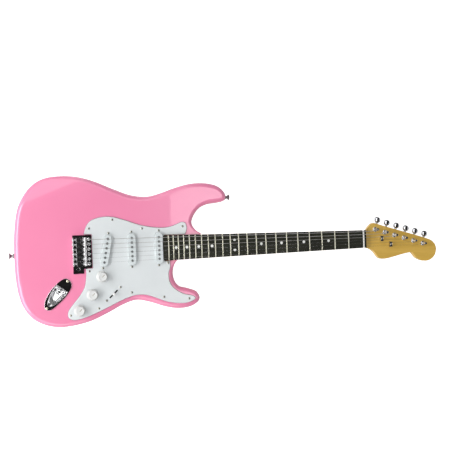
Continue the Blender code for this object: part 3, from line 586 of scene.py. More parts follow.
PINK = surface(
    "pink_lacquer_coat", ((9, 2), (0.90, 0.265, 0.445), (0.92, 0.285, 0.465)), ((45, 4), 0.16, 0.26),
    ((420, 2), 0.035, 0.0006), Coat_Weight=1.0, Coat_Roughness=0.03,
)
MAPLE = surface(
    "amber_maple", maple_colour, ((60, 4, 0.5, 0, (0.3, 2, 2)), 0.28, 0.4),
    ((120, 4, 0.6, 0, (0.12, 4, 4)), 0.08, 0.0004), Coat_Weight=0.35, Coat_Roughness=0.12,
)
BOARD = surface(
    "dark_wood", board_colour, ((200, 4, 0.5, 0, (0.2, 3, 3)), 0.36, 0.56), board_pores,
    Specular_IOR_Level=0.2,
)
BONE = plastic("aged_bone", (0.88, 0.87, 0.82), (0.94, 0.93, 0.89), (0.3, 0.45))
GUARD = plastic("guard_white", (0.70, 0.735, 0.745), (0.73, 0.765, 0.775), (0.14, 0.22), 0.015)
COVER = plastic("cover_white", (0.66, 0.71, 0.72), (0.70, 0.75, 0.76), (0.22, 0.34))
KNOB = plastic("knob_white", (0.69, 0.70, 0.69), (0.74, 0.75, 0.74), (0.42, 0.55))
PLY = plastic("middle_ply", (0.10, 0.10, 0.12), (0.16, 0.16, 0.18), (0.4, 0.5))
# Black fibre for the pickup plates and the gasket; also painted shade in the jack's bore and on the switch
# frame.
BLACK = plastic("black_fibre_and_painted_shade", (0.012, 0.012, 0.012), (0.03, 0.03, 0.03), (0.4, 0.55), 0.1)
PEARL = plastic("pearl_dot", (0.78, 0.79, 0.76), (0.93, 0.93, 0.91), (0.12, 0.2))
INK = plastic("gilt_ink", (0.20, 0.15, 0.08), (0.28, 0.22, 0.12), (0.3, 0.4))
CHROME = metal("bright_chrome", (0.74, 0.74, 0.75), (0.80, 0.80, 0.81), (0.05, 0.13))
SMOKED = metal("smoked_nickel", (0.25, 0.24, 0.25), (0.31, 0.30, 0.31), (0.12, 0.2))
DARK_CHROME = metal("smoky_chrome", (0.50, 0.50, 0.52), (0.58, 0.58, 0.60), (0.07, 0.15))
STEEL = metal("brushed_steel", (0.48, 0.48, 0.49), (0.60, 0.60, 0.61), (0.26, 0.42), (0.1, 3, 3), 200, 0.2)
POLES = metal("pole_steel", (0.20, 0.22, 0.22), (0.30, 0.32, 0.32), (0.3, 0.45))
NICKEL = metal("fret_nickel", (0.70, 0.68, 0.55), (0.80, 0.78, 0.64), (0.22, 0.34), (3, 0.1, 1))
SCREW = metal("screw_steel", (0.40, 0.40, 0.36), (0.55, 0.55, 0.50), (0.18, 0.3))
GOLD = metal("zinc_gold", (0.80, 0.76, 0.56), (0.88, 0.84, 0.66), (0.2, 0.32))
PLAIN_STRING = metal("plain_string", (0.50, 0.50, 0.51), (0.60, 0.60, 0.61), (0.18, 0.28))
WOUND_STRING = surface(
    "wound_steel", ((90, 3), (0.40, 0.39, 0.38), (0.52, 0.51, 0.49)), None, wrap_ridges,
    Roughness=0.32, Metallic=1.0,
)
# Near-black for the cavities under the guard: shielding paint, and painted shade in those recesses.
SHIELD_AND_SHADE = plastic("shielding_paint_and_painted_shade", (0.018, 0.018, 0.02), (0.04, 0.04, 0.042), (0.6, 0.8), 0.3)
COPPER = metal("coil_wire", (0.45, 0.16, 0.08), (0.60, 0.24, 0.12), (0.3, 0.4), (1, 1, 8), 400, 0.5)
FELT = surface(
    "black_felt", ((900, 4), (0.045, 0.04, 0.045), (0.12, 0.11, 0.12)), None, ((1500, 4), 0.8, 0.0004),
    Roughness=0.95,
)


# ---------------------------------------------------------------- shared positions


def fret_x(number):
    return -SCALE_LENGTH * (1 - 2 ** (-number / 12))


def half_width(x):
    return NUT_WIDTH / 2 + max(0.0, -x) / -fret_x(FRET_COUNT) * (LAST_FRET_WIDTH - NUT_WIDTH) / 2


def string_y(number, x=-SCALE_LENGTH):
    reach = NUT_SPREAD + (BRIDGE_SPREAD - NUT_SPREAD) * -x / SCALE_LENGTH
    return reach * (0.5 - (number - 1) / (len(STRINGS) - 1))


def row_point(number, along=0.0, out=0.0):
    """A point by tuner 1 to 6, moved along the tuner row and out towards the buttons."""
    distance = POST_PITCH * (number - 1) + along
    return (
        FIRST_POST[0] + distance * cos(ROW_ANGLE) - out * sin(ROW_ANGLE),
        FIRST_POST[1] + distance * sin(ROW_ANGLE) + out * cos(ROW_ANGLE),
    )


def row_place(number, z=0.0, along=0.0):
    return Matrix.Translation((*row_point(number, along), z)) @ Matrix.Rotation(ROW_ANGLE, 4, "Z")


def crown(y):
    """How far the fingerboard's round top falls towards its edges."""
    return BOARD_RADIUS - sqrt(BOARD_RADIUS**2 - y * y)


def upright(x, y, z=0.0):
    return Matrix.Translation((x, y, z))


STEM = axis_place((WORM_OFFSET, 0, WORM_Z), (0, 1, 0))


# ---------------------------------------------------------------- screws

HEADS = {}


def head_template(drive):
    """A domed screw head of radius 1 with its recess, kept for copying."""
    if drive not in HEADS:
        profile = [
            (0.45, -1.2), (0.5, -0.5), (0.96, -0.06), (1.0, 0.0), (0.985, 0.1), (0.9, 0.22), (0.72, 0.36),
            (0.48, 0.46), (0.2, 0.51), (0.02, 0.52),
        ]
        if drive == "hex":
            profile = [(0.96, -1.2), (1.0, -1.1), (1.0, -0.1), (0.92, 0.0), (0.02, 0.001)]
            cutters = [turned([(0.55, -0.8), (0.55, 1)], 6)]
        elif drive == "slot":
            cutters = [block((-1.1, -0.13, 0.14), (1.1, 0.13, 1))]
        else:
            cutters = [
                block((-0.56, -0.12, 0.08), (0.56, 0.12, 1)), block((-0.12, -0.56, 0.08), (0.12, 0.56, 1)),
            ]
        made = model(f"head_{drive}", turned(profile, 28), cuts=cutters, even=False)
        made.data.transform(PLACE.inverted())
        HEADS[drive] = made.data
        bpy.data.objects.remove(made)
    return HEADS[drive]


def screw(place, radius, drive="cross", turn=0.0):
    bm = bmesh.new()
    bm.from_mesh(head_template(drive))
    return moved(bm, place @ Matrix.Rotation(turn, 4, "Z") @ Matrix.Scale(radius, 4))


def screws(name, places, radius, look, body=ROOT, slot="chrome_plate", drive="cross"):
    """A row of like screws, each turned to an angle of its own."""
    heads = [screw(place, radius, drive, turn=1.3 * number) for number, place in enumerate(places)]
    piece(name, gather(*heads), body, slot, look, sharp=30)


# ---------------------------------------------------------------- body


def body_outline():
    """Seen from above, counter-clockwise from the bass cutaway round the butt to the neck joint."""
    bass = [
        (-388, 28.5), (-399, 35.5), (-407, 47), (-408, 59), (-400, 75.5), (-387, 88.5), (-368, 95.5),
        (-347, 97.8), (-332, 101.5), (-326.6, 110), (-330, 122), (-343, 134.5), (-362, 141.5), (-386, 144),
        (-412, 142.3), (-444, 134.5), (-480, 122.5), (-510, 116.5), (-545, 121), (-585, 136.5), (-625, 154),
        (-663, 164.8), (-700, 167.2), (-733, 162.5), (-759, 147.5), (-779, 122.5), (-792, 92), (-798.8, 45),
    ]
    butt = [(-800.5, 0)]
    treble = [
        (-799, -55), (-790, -102), (-772, -134), (-748, -152), (-715, -162), (-680, -161), (-640, -152.5),
        (-600, -135.5), (-570, -121), (-541, -113), (-511, -118.8), (-477, -131), (-447, -137.2),
        (-420, -135), (-402, -126), (-396.5, -115), (-404, -101), (-423, -93), (-441, -88), (-451.5, -77),
        (-456, -60), (-454, -41), (-447, -29.5), (-438, -25.5),
    ]
    heel = [(-396, -24.5), (-388, -20), (-386, 0), (-386, 20)]
    return smooth_outline(bass + butt + treble + heel)


def roundover(point):
    """How much of the edge radius is left near the neck joint, where the edge is square."""
    away = max((abs(point.y) - 26) / 30, (-450 - point.x) / 30)
    return min(1.0, max(0.06, away))


def tapered(start, at, slope, ease=24.0):
    """0 before the start, then a curve that eases into a straight slope."""
    past = at - start
    if past <= 0:
        return 0.0
    return slope * (past * past / (2 * ease) if past < ease else past - ease / 2)


def forearm_drop(point):
    across = point.y * cos(FOREARM_ANGLE) - (point.x - FOREARM_X) * sin(FOREARM_ANGLE)
    return tapered(FOREARM_START, across, FOREARM_SLOPE)


def belly_rise(point):
    return tapered(BELLY_START, point.y, BELLY_SLOPE) * max(0.0, 1 - ((point.x - BELLY_X) / BELLY_REACH) ** 2)


def body_blank(steps=8):
    """The slab with rounded edges, sloped for the forearm in front and hollowed for the belly behind."""
    outline = body_outline()
    mid = -BODY_DEPTH / 2
    rings = []
    for k in range(steps + 1):
        turn = pi / 2 * (1 - k / steps)
        ring = inset(outline, lambda p, a=turn: EDGE_RADIUS * roundover(p) * (1 - cos(a)))
        drop = EDGE_RADIUS * (1 - sin(turn))
        rings.append([Vector((q.x, q.y, -drop * roundover(p))) for p, q in zip(outline, ring)])
    back = [[Vector((q.x, q.y, -BODY_DEPTH - q.z)) for q in ring] for ring in rings[::-1]]
    bm = loft(rings + back)
    across = Vector((-sin(FOREARM_ANGLE), cos(FOREARM_ANGLE), 0))
    crease = Vector((FOREARM_X, 0, 0)) + across * FOREARM_START
    planes = [(crease + across * 3 * step, across) for step in range(10)]
    planes += [(Vector((x, 0, 0)), Vector((1, 0, 0))) for x in range(-685, -404, 20)]
    planes += [(Vector((0, BELLY_START + 4 * step, 0)), Vector((0, 1, 0))) for step in range(8)]
    for origin, normal in planes:
        everything = bm.verts[:] + bm.edges[:] + bm.faces[:]
        bmesh.ops.bisect_plane(bm, geom=everything, plane_co=origin, plane_no=normal)
    for vert in bm.verts:
        if vert.co.z > mid:
            vert.co.z -= forearm_drop(vert.co) * (1 - vert.co.z / mid)
        else:
            vert.co.z += belly_rise(vert.co) * (1 - (BACK - vert.co.z) / mid)
    return bm


def dish_rim(margin):
    """The dish's edge in the jack plate, grown outwards by margin, and its centre."""
    rim = [DISH_END[0], (-722.5, -80.0), (-730.0, -94.0), (-734.3, -108.0), (-731.0, -114.5)]
    rim += [(-722.0, -113.0), (-710.0, -104.5), (-699.0, -95.0), DISH_END[1]]
    centre = sum((Vector(p) for p in rim), Vector((0, 0))) / len(rim)
    return [Vector(p) + (Vector(p) - centre).normalized() * margin for p in rim], centre


def jack_frame():
    """The jack's axis: through the dish's steep wall, pointing out of it over the floor."""
    along = Vector((cos(JACK_ANGLE), sin(JACK_ANGLE), 0))
    middle = (Vector(DISH_END[0]) + Vector(DISH_END[1])) / 2
    wall_top = Vector((*middle, DISH_TOP))
    wall_foot = wall_top - along * JACK_WALL_RUN + Vector((0, 0, DISH_DEEP - DISH_TOP))
    slope = (wall_top - wall_foot).normalized()
    outward = slope.cross(along.cross(Vector((0, 0, 1)))).normalized()
    if outward.z < 0:
        outward.negate()
    return axis_place((wall_top + wall_foot) / 2, outward)


def neck_screw_places():
    return [(x, y) for x in (-453.5, -405.5) for y in (-19.0, 19.0)]


def body():
    """The lacquered slab with its cavities; their walls under the pickguard are painted dark: shielding
    paint, and painted shade in those recesses.
    """
    cuts = [block((HEEL_END - GAP, -28.6, -16), (-360, 28.6, 5))]
    for x, y, slant, _ in PICKUPS.values():
        cuts.append(prism(placed(stadium(91, 24), (x, y), radians(slant)), -18, 5))
    controls = [
        (-566, -62), (-598, -40), (-630, -40), (-653, -80), (-684, -122), (-682, -142), (-664, -143),
        (-625, -127), (-592, -116), (-566, -96),
    ]
    cuts.append(prism([Vector(p) for p in controls], -37.5, 5))
    cuts.append(block((-673, -37.5, BACK - 5), (-645.5, 35.5, 5)))
    cuts.append(block((-673.5, -38, BACK - 5), (-556, 36, -28.5)))
    cuts.append(turned([(11.0, -26), (11.0, -1)], 24, jack_frame()))
    cuts.append(prism(dish_rim(1.6)[0], -15.5, 5))
    cuts += [pin(x, y, BACK - 5, 0, 2.6) for x, y in neck_screw_places()]
    cuts += [rod((CLAW_X, y, SPRING_Z), (-532, y, SPRING_Z), 2.4) for y in (-8.0, 8.0)]
    for _, origin, direction in STRAP_BUTTONS:
        start = Vector(origin) + Vector(direction) * 5
        cuts.append(rod(start, Vector(origin) - Vector(direction) * 24, 1.9))
    made = piece(
        "body_lacquered", body_blank(), ROOT, "pink_lacquer", PINK, SHIELD_AND_SHADE, replaces=["body"], cuts=cuts,
        sharp=40,
    )
    # The cavity faces under the guard take the dark paint: shielding paint, and painted shade that keeps the
    # slots and gaps dark.
    inner = inset(guard_outline(), lambda p: 2)
    for face in made.data.polygons:
        centre = PLACE.inverted() @ face.center
        if BACK + 1 < centre.z < -1 and contains(inner, centre):
            face.material_index = 1


# ---------------------------------------------------------------- neck, fingerboard and nut

UPPER_EDGE = [
    (9, 21), (14, 22.8), (18, 26.5), (23, 31), (27, 34.8), (31, 36.8), (36, 36.8), (59, 29.5), (134, 6.8),
    (158, -0.7), (176, -6.7), (184, -10.5), (189, -15), (193, -20), (194.6, -25), (HEAD_TIP, -31),
]
LOWER_EDGE = [
    (9, -21), (14, -22.4), (21, -24), (28, -28.5), (33, -33), (37, -38), (41, -44), (46, -48.3),
    (56, -49.7), (66, -49), (84, -45.3), (110, -39.6), (126, -37.5), (131, -38.4), (136, -44), (141, -50),
    (148, -55), (158, -58.8), (169, -59.6), (177, -58), (184, -54), (190, -48.5), (193.4, -42), (195, -36),
    (HEAD_TIP, -31),
]


def head_edges(x):
    """Lowest and highest y of the neck and head at x."""
    if x < 9:
        return -half_width(x), half_width(x)
    return smooth_value(LOWER_EDGE, x), smooth_value(UPPER_EDGE, x)


def neck_section(x, sides=16):
    """One cross-section: flat top, round back; flat on both sides along the heel and the head."""
    front = [
        (-500, BOARD_BOTTOM), (9, BOARD_BOTTOM), (11, 2.4), (14, 0.4), (19, HEAD_FACE), (200, HEAD_FACE),
    ]
    back = [
        (-500, -15.7), (-405, -15.7), (-392, -15.3), (-380, -14.4), (-366, -13.5), (-324, -13.0),
        (-5, -11.5), (8, -12.6), (18, -14.6), (26, HEAD_FACE - HEAD_DEPTH), (200, HEAD_FACE - HEAD_DEPTH),
    ]
    top, low = between(front, x), smooth_value(back, x)
    power = between([(-500, 12), (-405, 12), (-370, 2.3), (2, 2.3), (12, 3.5), (26, 14), (200, 14)], x)
    edge = between([(-500, 0.05), (9, 0.05), (22, 1.0), (200, 1.0)], x)
    right, left = head_edges(x)
    centre, half = (left + right) / 2, (left - right) / 2
    edge = min(edge, half * 0.4)
    eighths = (0, pi / 8, pi / 4, 3 * pi / 8)
    side_top = top - edge
    rounding = [(half - edge + edge * sin(a), side_top + edge * cos(a)) for a in eighths]
    for k in range(sides):
        a = pi / 2 * k / sides
        rounding.append((half * cos(a) ** (2 / power), side_top + (low - side_top) * sin(a) ** (2 / power)))
    half_ring = [Vector((x, centre + a, z)) for a, z in rounding]
    other = [Vector((x, centre - a, z)) for a, z in rounding[::-1]]
    return half_ring + [Vector((x, centre, low))] + other


def neck_stations():
    """Places along the neck, closer together where its outline turns quickly."""
    stations = [
        HEEL_END, -440, -405, -398, -392, -386, -380, -375, -370, -350, -324, -240, -160, -80, -20, -5,
    ]
    stations += [
        0, 2, 5, 9, 10, 11, 12.5, 14, 16, 18, 20, 22, 26, 31, 36, 59, 134, 158, 176, 184, 189, 193, 195,
    ]
    fine = [stations[0]]
    for x in stations[1:]:
        while x - fine[-1] > 1e-6:
            step = x - fine[-1]
            here = head_edges(fine[-1])
            while step > 0.15 and max(abs(a - b) for a, b in zip(here, head_edges(fine[-1] + step))) > 1.3:
                step /= 2
            fine.append(min(x, fine[-1] + step))
    return fine


def neck():
    """Neck, heel and head in one piece, with its truss channel and the holes for posts and screws."""
    rings = [neck_section(x) for x in neck_stations()]
    last_x = rings[-1][0].x
    tip_y = UPPER_EDGE[-1][1]
    for reach, narrow in ((0.35, 0.8), (0.68, 0.7), (0.9, 0.58), (1.0, 0.3)):
        x = last_x + (HEAD_TIP - last_x) * reach
        rings.append([Vector((x, tip_y + (p.y - tip_y) * narrow, p.z)) for p in rings[-1]])
    cuts = [block((-470, -3.3, -5.1), (-14, 3.3, 6))]
    cuts += [pin(x, y, -20, -4.5, 2.6) for x, y in neck_screw_places()]
    cuts += [pin(*row_point(number), -18, 2, 5.0) for number in STRINGS]
    piece("neck_carved", loft(rings), ROOT, "maple", MAPLE, replaces=["neck"], cuts=cuts, sharp=45)


def board_section(x, half, segments=16):
    """One cross-section of the fingerboard, whose top is an arc."""
    across = [half * (2 * k / segments - 1) for k in range(1, segments)]
    edge_z = BOARD_TOP - crown(half)
    top = [Vector((x, y, BOARD_TOP - crown(y))) for y in across]
    low = BOARD_BOTTOM + GAP
    side = [(half, low), (half, edge_z - 0.5), (half - 0.4, edge_z - 0.05)]
    left = [Vector((x, -y, z)) for y, z in side]
    return left + top + [Vector((x, y, z)) for y, z in side[::-1]]


def fingerboard():
    """The played board, rounded at its end, and the short piece of it beyond the nut."""
    corner = 3.0
    stations = [
        (x, half_width(x)) for x in (-GAP, -60, -120, -180, -240, -300, -360, -420, BOARD_END + corner)
    ]
    for k in range(1, 7):
        a = pi / 2 * k / 6
        x = BOARD_END + corner * (1 - sin(a))
        stations.append((x, half_width(x) - corner * (1 - cos(a))))
    played = loft([board_section(x, half) for x, half in stations])
    ahead = loft([board_section(x, NUT_WIDTH / 2) for x in (8.5, NUT_THICKNESS + GAP)])
    piece(
        "fingerboard_radiused", gather(played, ahead), ROOT, "dark_fingerboard", BOARD,
        replaces=["fingerboard"], sharp=50,
    )


def fret(number):
    """One wire: a low dome that follows the board's round top, its ends filed to a slope."""
    x, half = fret_x(number), half_width(fret_x(number))
    dome = [
        (-1.25, -0.5), (-1.25, 0.25), (-1.0, 0.7), (-0.6, 1.0), (0, 1.1), (0.6, 1.0), (1.0, 0.7),
        (1.25, 0.25), (1.25, -0.5),
    ]
    stations = [(-1, 0.3), (-1 + 0.5 / half, 0.75), (-1 + 1.0 / half, 1.0)]
    stations += [(k / 6, 1.0) for k in range(-5, 6)]
    stations += [(-share, rise) for share, rise in stations[2::-1]]
    rings = []
    for share, rise in stations:
        y = half * share
        ring = [Vector((x + a, y, BOARD_TOP - crown(y) + (h * rise if h > 0 else h))) for a, h in dome]
        rings.append(ring)
    return loft(rings)


def fret_wires():
    wires = gather(*[fret(number) for number in range(1, FRET_COUNT + 1)])
    piece("fret_wires", wires, ROOT, "string_steel", NICKEL, sharp=50)


def inlays():
    """Dots in the board, two at the octave, and small ones along its bass edge."""
    places = []
    for number in (3, 5, 7, 9, 12, 15, 17, 19, 21):
        x = (fret_x(number) + fret_x(number - 1)) / 2
        places += [(x, y) for y in ((-11.0, 11.0) if number == 12 else (0.0,))]
    dot = [(3.2, -0.6), (3.2, 0.02), (3.0, 0.09), (1.6, 0.11), (0.02, 0.12)]
    dots = [turned(dot, 28, upright(x, y, BOARD_TOP - crown(y) - 0.03)) for x, y in places]
    for x, y in places:
        edge = half_width(x) - 0.35
        dots.append(turned([(1.0, 0), (1.0, 0.4), (0.02, 0.42)], 14, axis_place((x, edge, 6.4), (0, 1, 0))))
    piece("position_dots", gather(*dots), ROOT, "bone", PEARL, sharp=40)


def nut():
    """A strip of bone with a rounded top, and a slot for each string."""
    proud = 0.75
    across = [NUT_WIDTH / 2 * k / 10 for k in range(-10, 11)]
    shape = (
        (0.0, 0.7), (0.25, 0.25), (0.8, 0), (NUT_THICKNESS - 1.2, 0.05), (NUT_THICKNESS - 0.4, 0.5),
        (NUT_THICKNESS, 1.1),
    )
    rings = []
    for x, drop in shape:
        top = [Vector((x, y, NUT_TOP + proud - crown(y) - drop)) for y in across]
        foot = [Vector((x, y, BOARD_TOP - 2.9 - crown(y))) for y in across[::-1]]
        rings.append(top + foot)
    slots = []
    for number in STRINGS:
        y, width = string_y(number, 0), STRING_RADII[number - 1] + 0.12
        bottom = NUT_TOP + GAP - crown(y) - 0.02
        slots.append(block((-2, y - width, bottom), (NUT_THICKNESS + 2, y + width, bottom + 5)))
    piece("nut_slotted", loft(rings), ROOT, "bone", BONE, replaces=["nut"], cuts=slots, bevel=0.12)


def neck_plate():
    """Plate on the back with its gasket and the four screws that reach into the heel."""
    outline = rounded_rectangle((-461.5, -25.5), (-397.5, 25.5), 6, 10)
    plate = moved(rounded_prism(outline, -(BACK - GAP), -FLOOR, top=0.7), DOWNWARD)
    piece("neck_plate_plated", plate, ROOT, "chrome_plate", CHROME, replaces=["neck_plate"])
    gasket = prism(rounded_rectangle((-462.3, -26.3), (-396.7, 26.3), 6.5, 8), BACK - GAP, BACK - 0.02)
    piece("neck_plate_gasket", gasket, ROOT, "black_plastic", BLACK)
    places = [Matrix.Translation((x, y, FLOOR + 1.65)) @ DOWNWARD for x, y in neck_screw_places()]
    screws("neck_screws", places, 3.2, SCREW)
    shanks = [pin(x, y, FLOOR + 1.9, -7, 2.1, 16) for x, y in neck_screw_places()]
    piece("neck_screw_shanks", gather(*shanks), ROOT, "plain_steel", STEEL)


# ---------------------------------------------------------------- tuners and strings


def tuner_housing(number):
    """Base plate, pressed cover, the cover's hollow and the stem's collar, behind the head."""
    low = HEAD_FACE - HEAD_DEPTH - GAP
    plate = rounded_prism(rounded_rectangle((-9.6, -9.4), (15.8, 10.4), 2.5), low - 1.4, low, foot=0.4)
    outline = rounded_rectangle((-8.0, -9.2), (13.4, 9.4), 4.0, 8)
    steps = [(0.0, 1.4), (0.0, 8.6), (0.35, 9.5), (1.1, 10.2), (2.2, 10.5)]
    wall = 0.8
    cover = loft([at_height(inset(outline, lambda p, s=s: s), low - d) for s, d in steps])
    hollow = [(s + wall, max(0.2, d - wall)) for s, d in steps]
    inner = loft([at_height(inset(outline, lambda p, s=s: s), low - d) for s, d in hollow])
    profile = [(3.2, 9.0), (3.2, 10.2), (2.8, 11.6), (2.3, 12.0), (2.3, 9.0)]
    collar = turned(profile, 28, STEM)
    return [moved(shape, row_place(number)) for shape in (plate, cover, inner, collar)]


def tuner_backs():
    """The six housings, their small screws, and the bushings round the posts in front."""
    plates, covers, hollows, collars = zip(*[tuner_housing(number) for number in STRINGS])
    piece(
        "tuner_base_plates", gather(*plates), ROOT, "chrome_plate", CHROME, replaces=["tuner_plate"],
        sharp=40,
    )
    for number, cover, hollow in zip(STRINGS, covers, hollows):
        stem = moved(turned([(2.5, 0), (2.5, 30)], 24, STEM), row_place(number))
        piece(f"tuner_{number}_cover", cover, ROOT, "chrome_plate", CHROME, cuts=[hollow, stem], sharp=40)
    piece("tuner_collars", gather(*collars), ROOT, "chrome_plate", CHROME)
    ring = [(3.5, -1.2), (5.6, -1.0), (5.6, -0.55), (5.2, -0.2), (4.4, 0.35), (3.5, 0.5), (3.5, -1.2)]
    bushings = [ring_solid(turned(ring, 32, row_place(number))) for number in STRINGS]
    piece("tuner_bushings", gather(*bushings), ROOT, "chrome_plate", CHROME, sharp=40)
    ears = [(14.7, 7.6), (14.7, -7.2)]
    places = [row_place(n) @ Matrix.Translation((x, y, -16.9)) @ DOWNWARD for n in STRINGS for x, y in ears]
    screws("tuner_screws", places, 1.2, SCREW)


def ring_solid(bm):
    """Drops the end caps of a turned ring whose profile ends where it began."""
    caps = [face for face in bm.faces if len(face.verts) > 4]
    bmesh.ops.delete(bm, geom=caps, context="FACES_ONLY")
    bmesh.ops.remove_doubles(bm, verts=bm.verts, dist=1e-4)
    bmesh.ops.recalc_face_normals(bm, faces=bm.faces)
    return bm


def tuner_button(number):
    """Worm, stem and a smooth oval button in one piece."""
    place = row_place(number, WORM_Z, WORM_OFFSET)
    segments = 36
    profile = [
        (-9.0, 1.5, 1.5), (-3.5, 1.5, 1.5), (3.5, 1.5, 1.5), (11.5, 1.5, 1.5), (11.8, 2.1, 2.1),
        (17.4, 2.1, 2.1), (17.8, 2.9, 2.6), (18.6, 3.3, 2.8), (19.4, 3.1, 2.6),
    ]
    middle, reach = 26.4, 6.95
    for k in range(1, 18):
        a = pi * k / 18
        across = 8.4 * sin(a) ** 0.78
        wide = max(across, 2.6 if k < 4 else 0)
        profile.append((middle - reach * cos(a), wide, min(3.1, 1.2 + 2.4 * sin(a))))
    profile.append((middle + reach, 2.2, 0.9))
    rings = []
    for out, wide, thick in profile:
        rings.append([place @ Vector((wide * cos(a), out, thick * sin(a))) for a in full_turn(segments)])
    sideways = axis_place((0, 0, 0), (0, 1, 0))
    worm = tube(helix(sideways, WORM_RADIUS - 0.35, -WORM_LEAD, WORM_LEAD, 2), 0.62, 8)
    shaft = turned([(WORM_RADIUS - 0.55, -3), (WORM_RADIUS - 0.55, 3)], 24, sideways)
    whole = gather(loft(rings), moved(worm, place), moved(shaft, place))
    piece(
        f"tuner_{number}_key", whole, f"tuner_{number}_button", "chrome_plate", DARK_CHROME,
        replaces=[f"tuner_button_{number}"], sharp=50,
    )


def tuner_post(number):
    """Post with a waist for the string and a slot across its top, and the wheel below."""
    place = row_place(number)
    profile = [
        (2.0, WORM_Z - 2.4), (3.0, WORM_Z - 1.9), (3.0, 3.2), (3.2, 3.6), (POST_WAIST + 0.1, 4.6),
        (POST_WAIST, 7), (POST_WAIST, 9), (POST_WAIST + 0.15, 10.6), (3.15, 12), (3.3, 13), (3.3, 14.2),
        (3.1, 14.8), (2.7, POST_TOP),
    ]
    slot = block((-0.75, -5, 10.2), (0.75, 5, 20))
    cuts = [moved(slot, place), turned([(1.1, 9), (1.1, 20)], 16, place)]
    made = model(f"tuner_{number}_capstan", turned(profile, 36, place), cuts=cuts, sharp=35)
    body_name = f"tuner_{number}_post"
    show(made, body_name, "chrome_plate", CHROME, replaces=[f"tuner_post_{number}"])
    ring = []
    for tooth in range(WHEEL_TEETH):
        for part, radius in ((-0.30, -0.85), (-0.14, 0.4), (0.14, 0.4), (0.30, -0.85)):
            turn = 2 * pi * (tooth + part) / WHEEL_TEETH
            ring.append(Vector(((WHEEL_RADIUS + radius) * cos(turn), (WHEEL_RADIUS + radius) * sin(turn))))
    wheel = moved(prism(ring, WORM_Z - 1.7, WORM_Z + 1.7), place)
    piece(f"tuner_{number}_wheel", wheel, body_name, "chrome_plate", GOLD, bevel=0.15)
    radius = STRING_RADII[number - 1]
    turns = 2.25 if number <= WOUND_STRINGS else 4.25
    start = place @ Matrix.Rotation(-pi / 2, 4, "Z")
    low = 7.0 - turns * 2.15 * radius
    wire = tube(helix(start, POST_WAIST + radius + 0.05, 7.0, low, turns), radius, 8)
    piece(f"string_{number}_winding", wire, body_name, "string_steel", string_look(number), sharp=60)


def string_look(number):
    return WOUND_STRING if number <= WOUND_STRINGS else PLAIN_STRING


def string(number):
    """Ball end in the vibrato block, over saddle and nut, under a tree for the thin ones, to the post."""
    radius = STRING_RADII[number - 1]
    y = string_y(number)
    nut_y = string_y(number, 0)
    over_nut = NUT_TOP + GAP + radius - crown(nut_y)
    over_saddle = SADDLE_TOP + GAP + radius
    end = row_point(number, 0, -POST_WAIST - radius - 0.05)
    bend = [
        (STRING_HOLE_X, y, -13.8), (STRING_HOLE_X, y, -4), (STRING_HOLE_X, y, 5.0), (-656.4, y, 9.4),
        (-654.4, y, 13.2), (-652.9, y, over_saddle - 0.35), (-651.0, y, over_saddle),
        (-648.4, y, over_saddle - 0.1),
    ]
    path = smooth_path(bend, 5)
    start, stop = Vector((-648.4, y, over_saddle - 0.1)), Vector((-0.4, nut_y, over_nut))
    for k in range(1, 30):
        share = k / 30
        path.append(start.lerp(stop, share * 0.2 if share < 0.3 else 0.06 + (share - 0.3) / 0.7 * 0.94))
    path.append(stop)
    path.append(Vector((NUT_THICKNESS * 0.6, nut_y, over_nut - 0.03)))
    if number > 2:
        start = Vector((NUT_THICKNESS + 0.5, nut_y))
        for tree_x in [TREES[(number - 3) // 2][0] + side for side in (-4.7, 4.7)]:
            tree_y = start.y + (end[1] - start.y) * (tree_x - start.x) / (end[0] - start.x)
            path.append(Vector((tree_x, tree_y, TREE_Z - GAP - radius)))
    path.append(Vector((*end, 7.0)))
    made = model(f"string_{number}_wire", tube(path, radius, 10), sharp=60, even=False)
    made.data.materials.append(string_look(number))
    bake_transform(made)
    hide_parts(f"string_{number}")
    ball = turned([(0.9, -17), (1.9, -16.6), (1.9, -14.2), (0.9, -13.7)], 20, upright(STRING_HOLE_X, y))
    piece(f"string_{number}_ball_end", ball, BRIDGE, "string_steel", GOLD)


def string_tree(number, x, y):
    """A pressed wing that holds two strings down: raised in the middle, rolled down at both sides."""
    rings = []
    for k in range(-12, 13):
        inwards = 1 - abs(k) / 12
        across = 6.2 * k / 12
        rise = 1.15 * inwards**0.6
        reach = 4.2 * (1 - 0.32 * inwards)
        z = TREE_Z + 0.15 + rise
        section = [
            (-reach, z + 0.25), (-reach * 0.8, z), (reach * 0.8, z), (reach, z + 0.25), (reach, z + 0.9),
            (reach * 0.8, z + 0.75), (-reach * 0.8, z + 0.75), (-reach, z + 0.9),
        ]
        rings.append([Vector((x + a, y + across, b)) for a, b in section])
    stem = pin(x, y, HEAD_FACE, TREE_Z + 1.2, 1.9)
    piece(
        f"string_tree_{number}_wing", gather(loft(rings), stem), ROOT, "chrome_plate", CHROME,
        replaces=[f"string_tree_{number}"], sharp=50,
    )
    screws(f"string_tree_{number}_screw", [upright(x, y, TREE_Z + 2.0)], 2.3, SCREW)


# ---------------------------------------------------------------- pickguard, pickups and controls


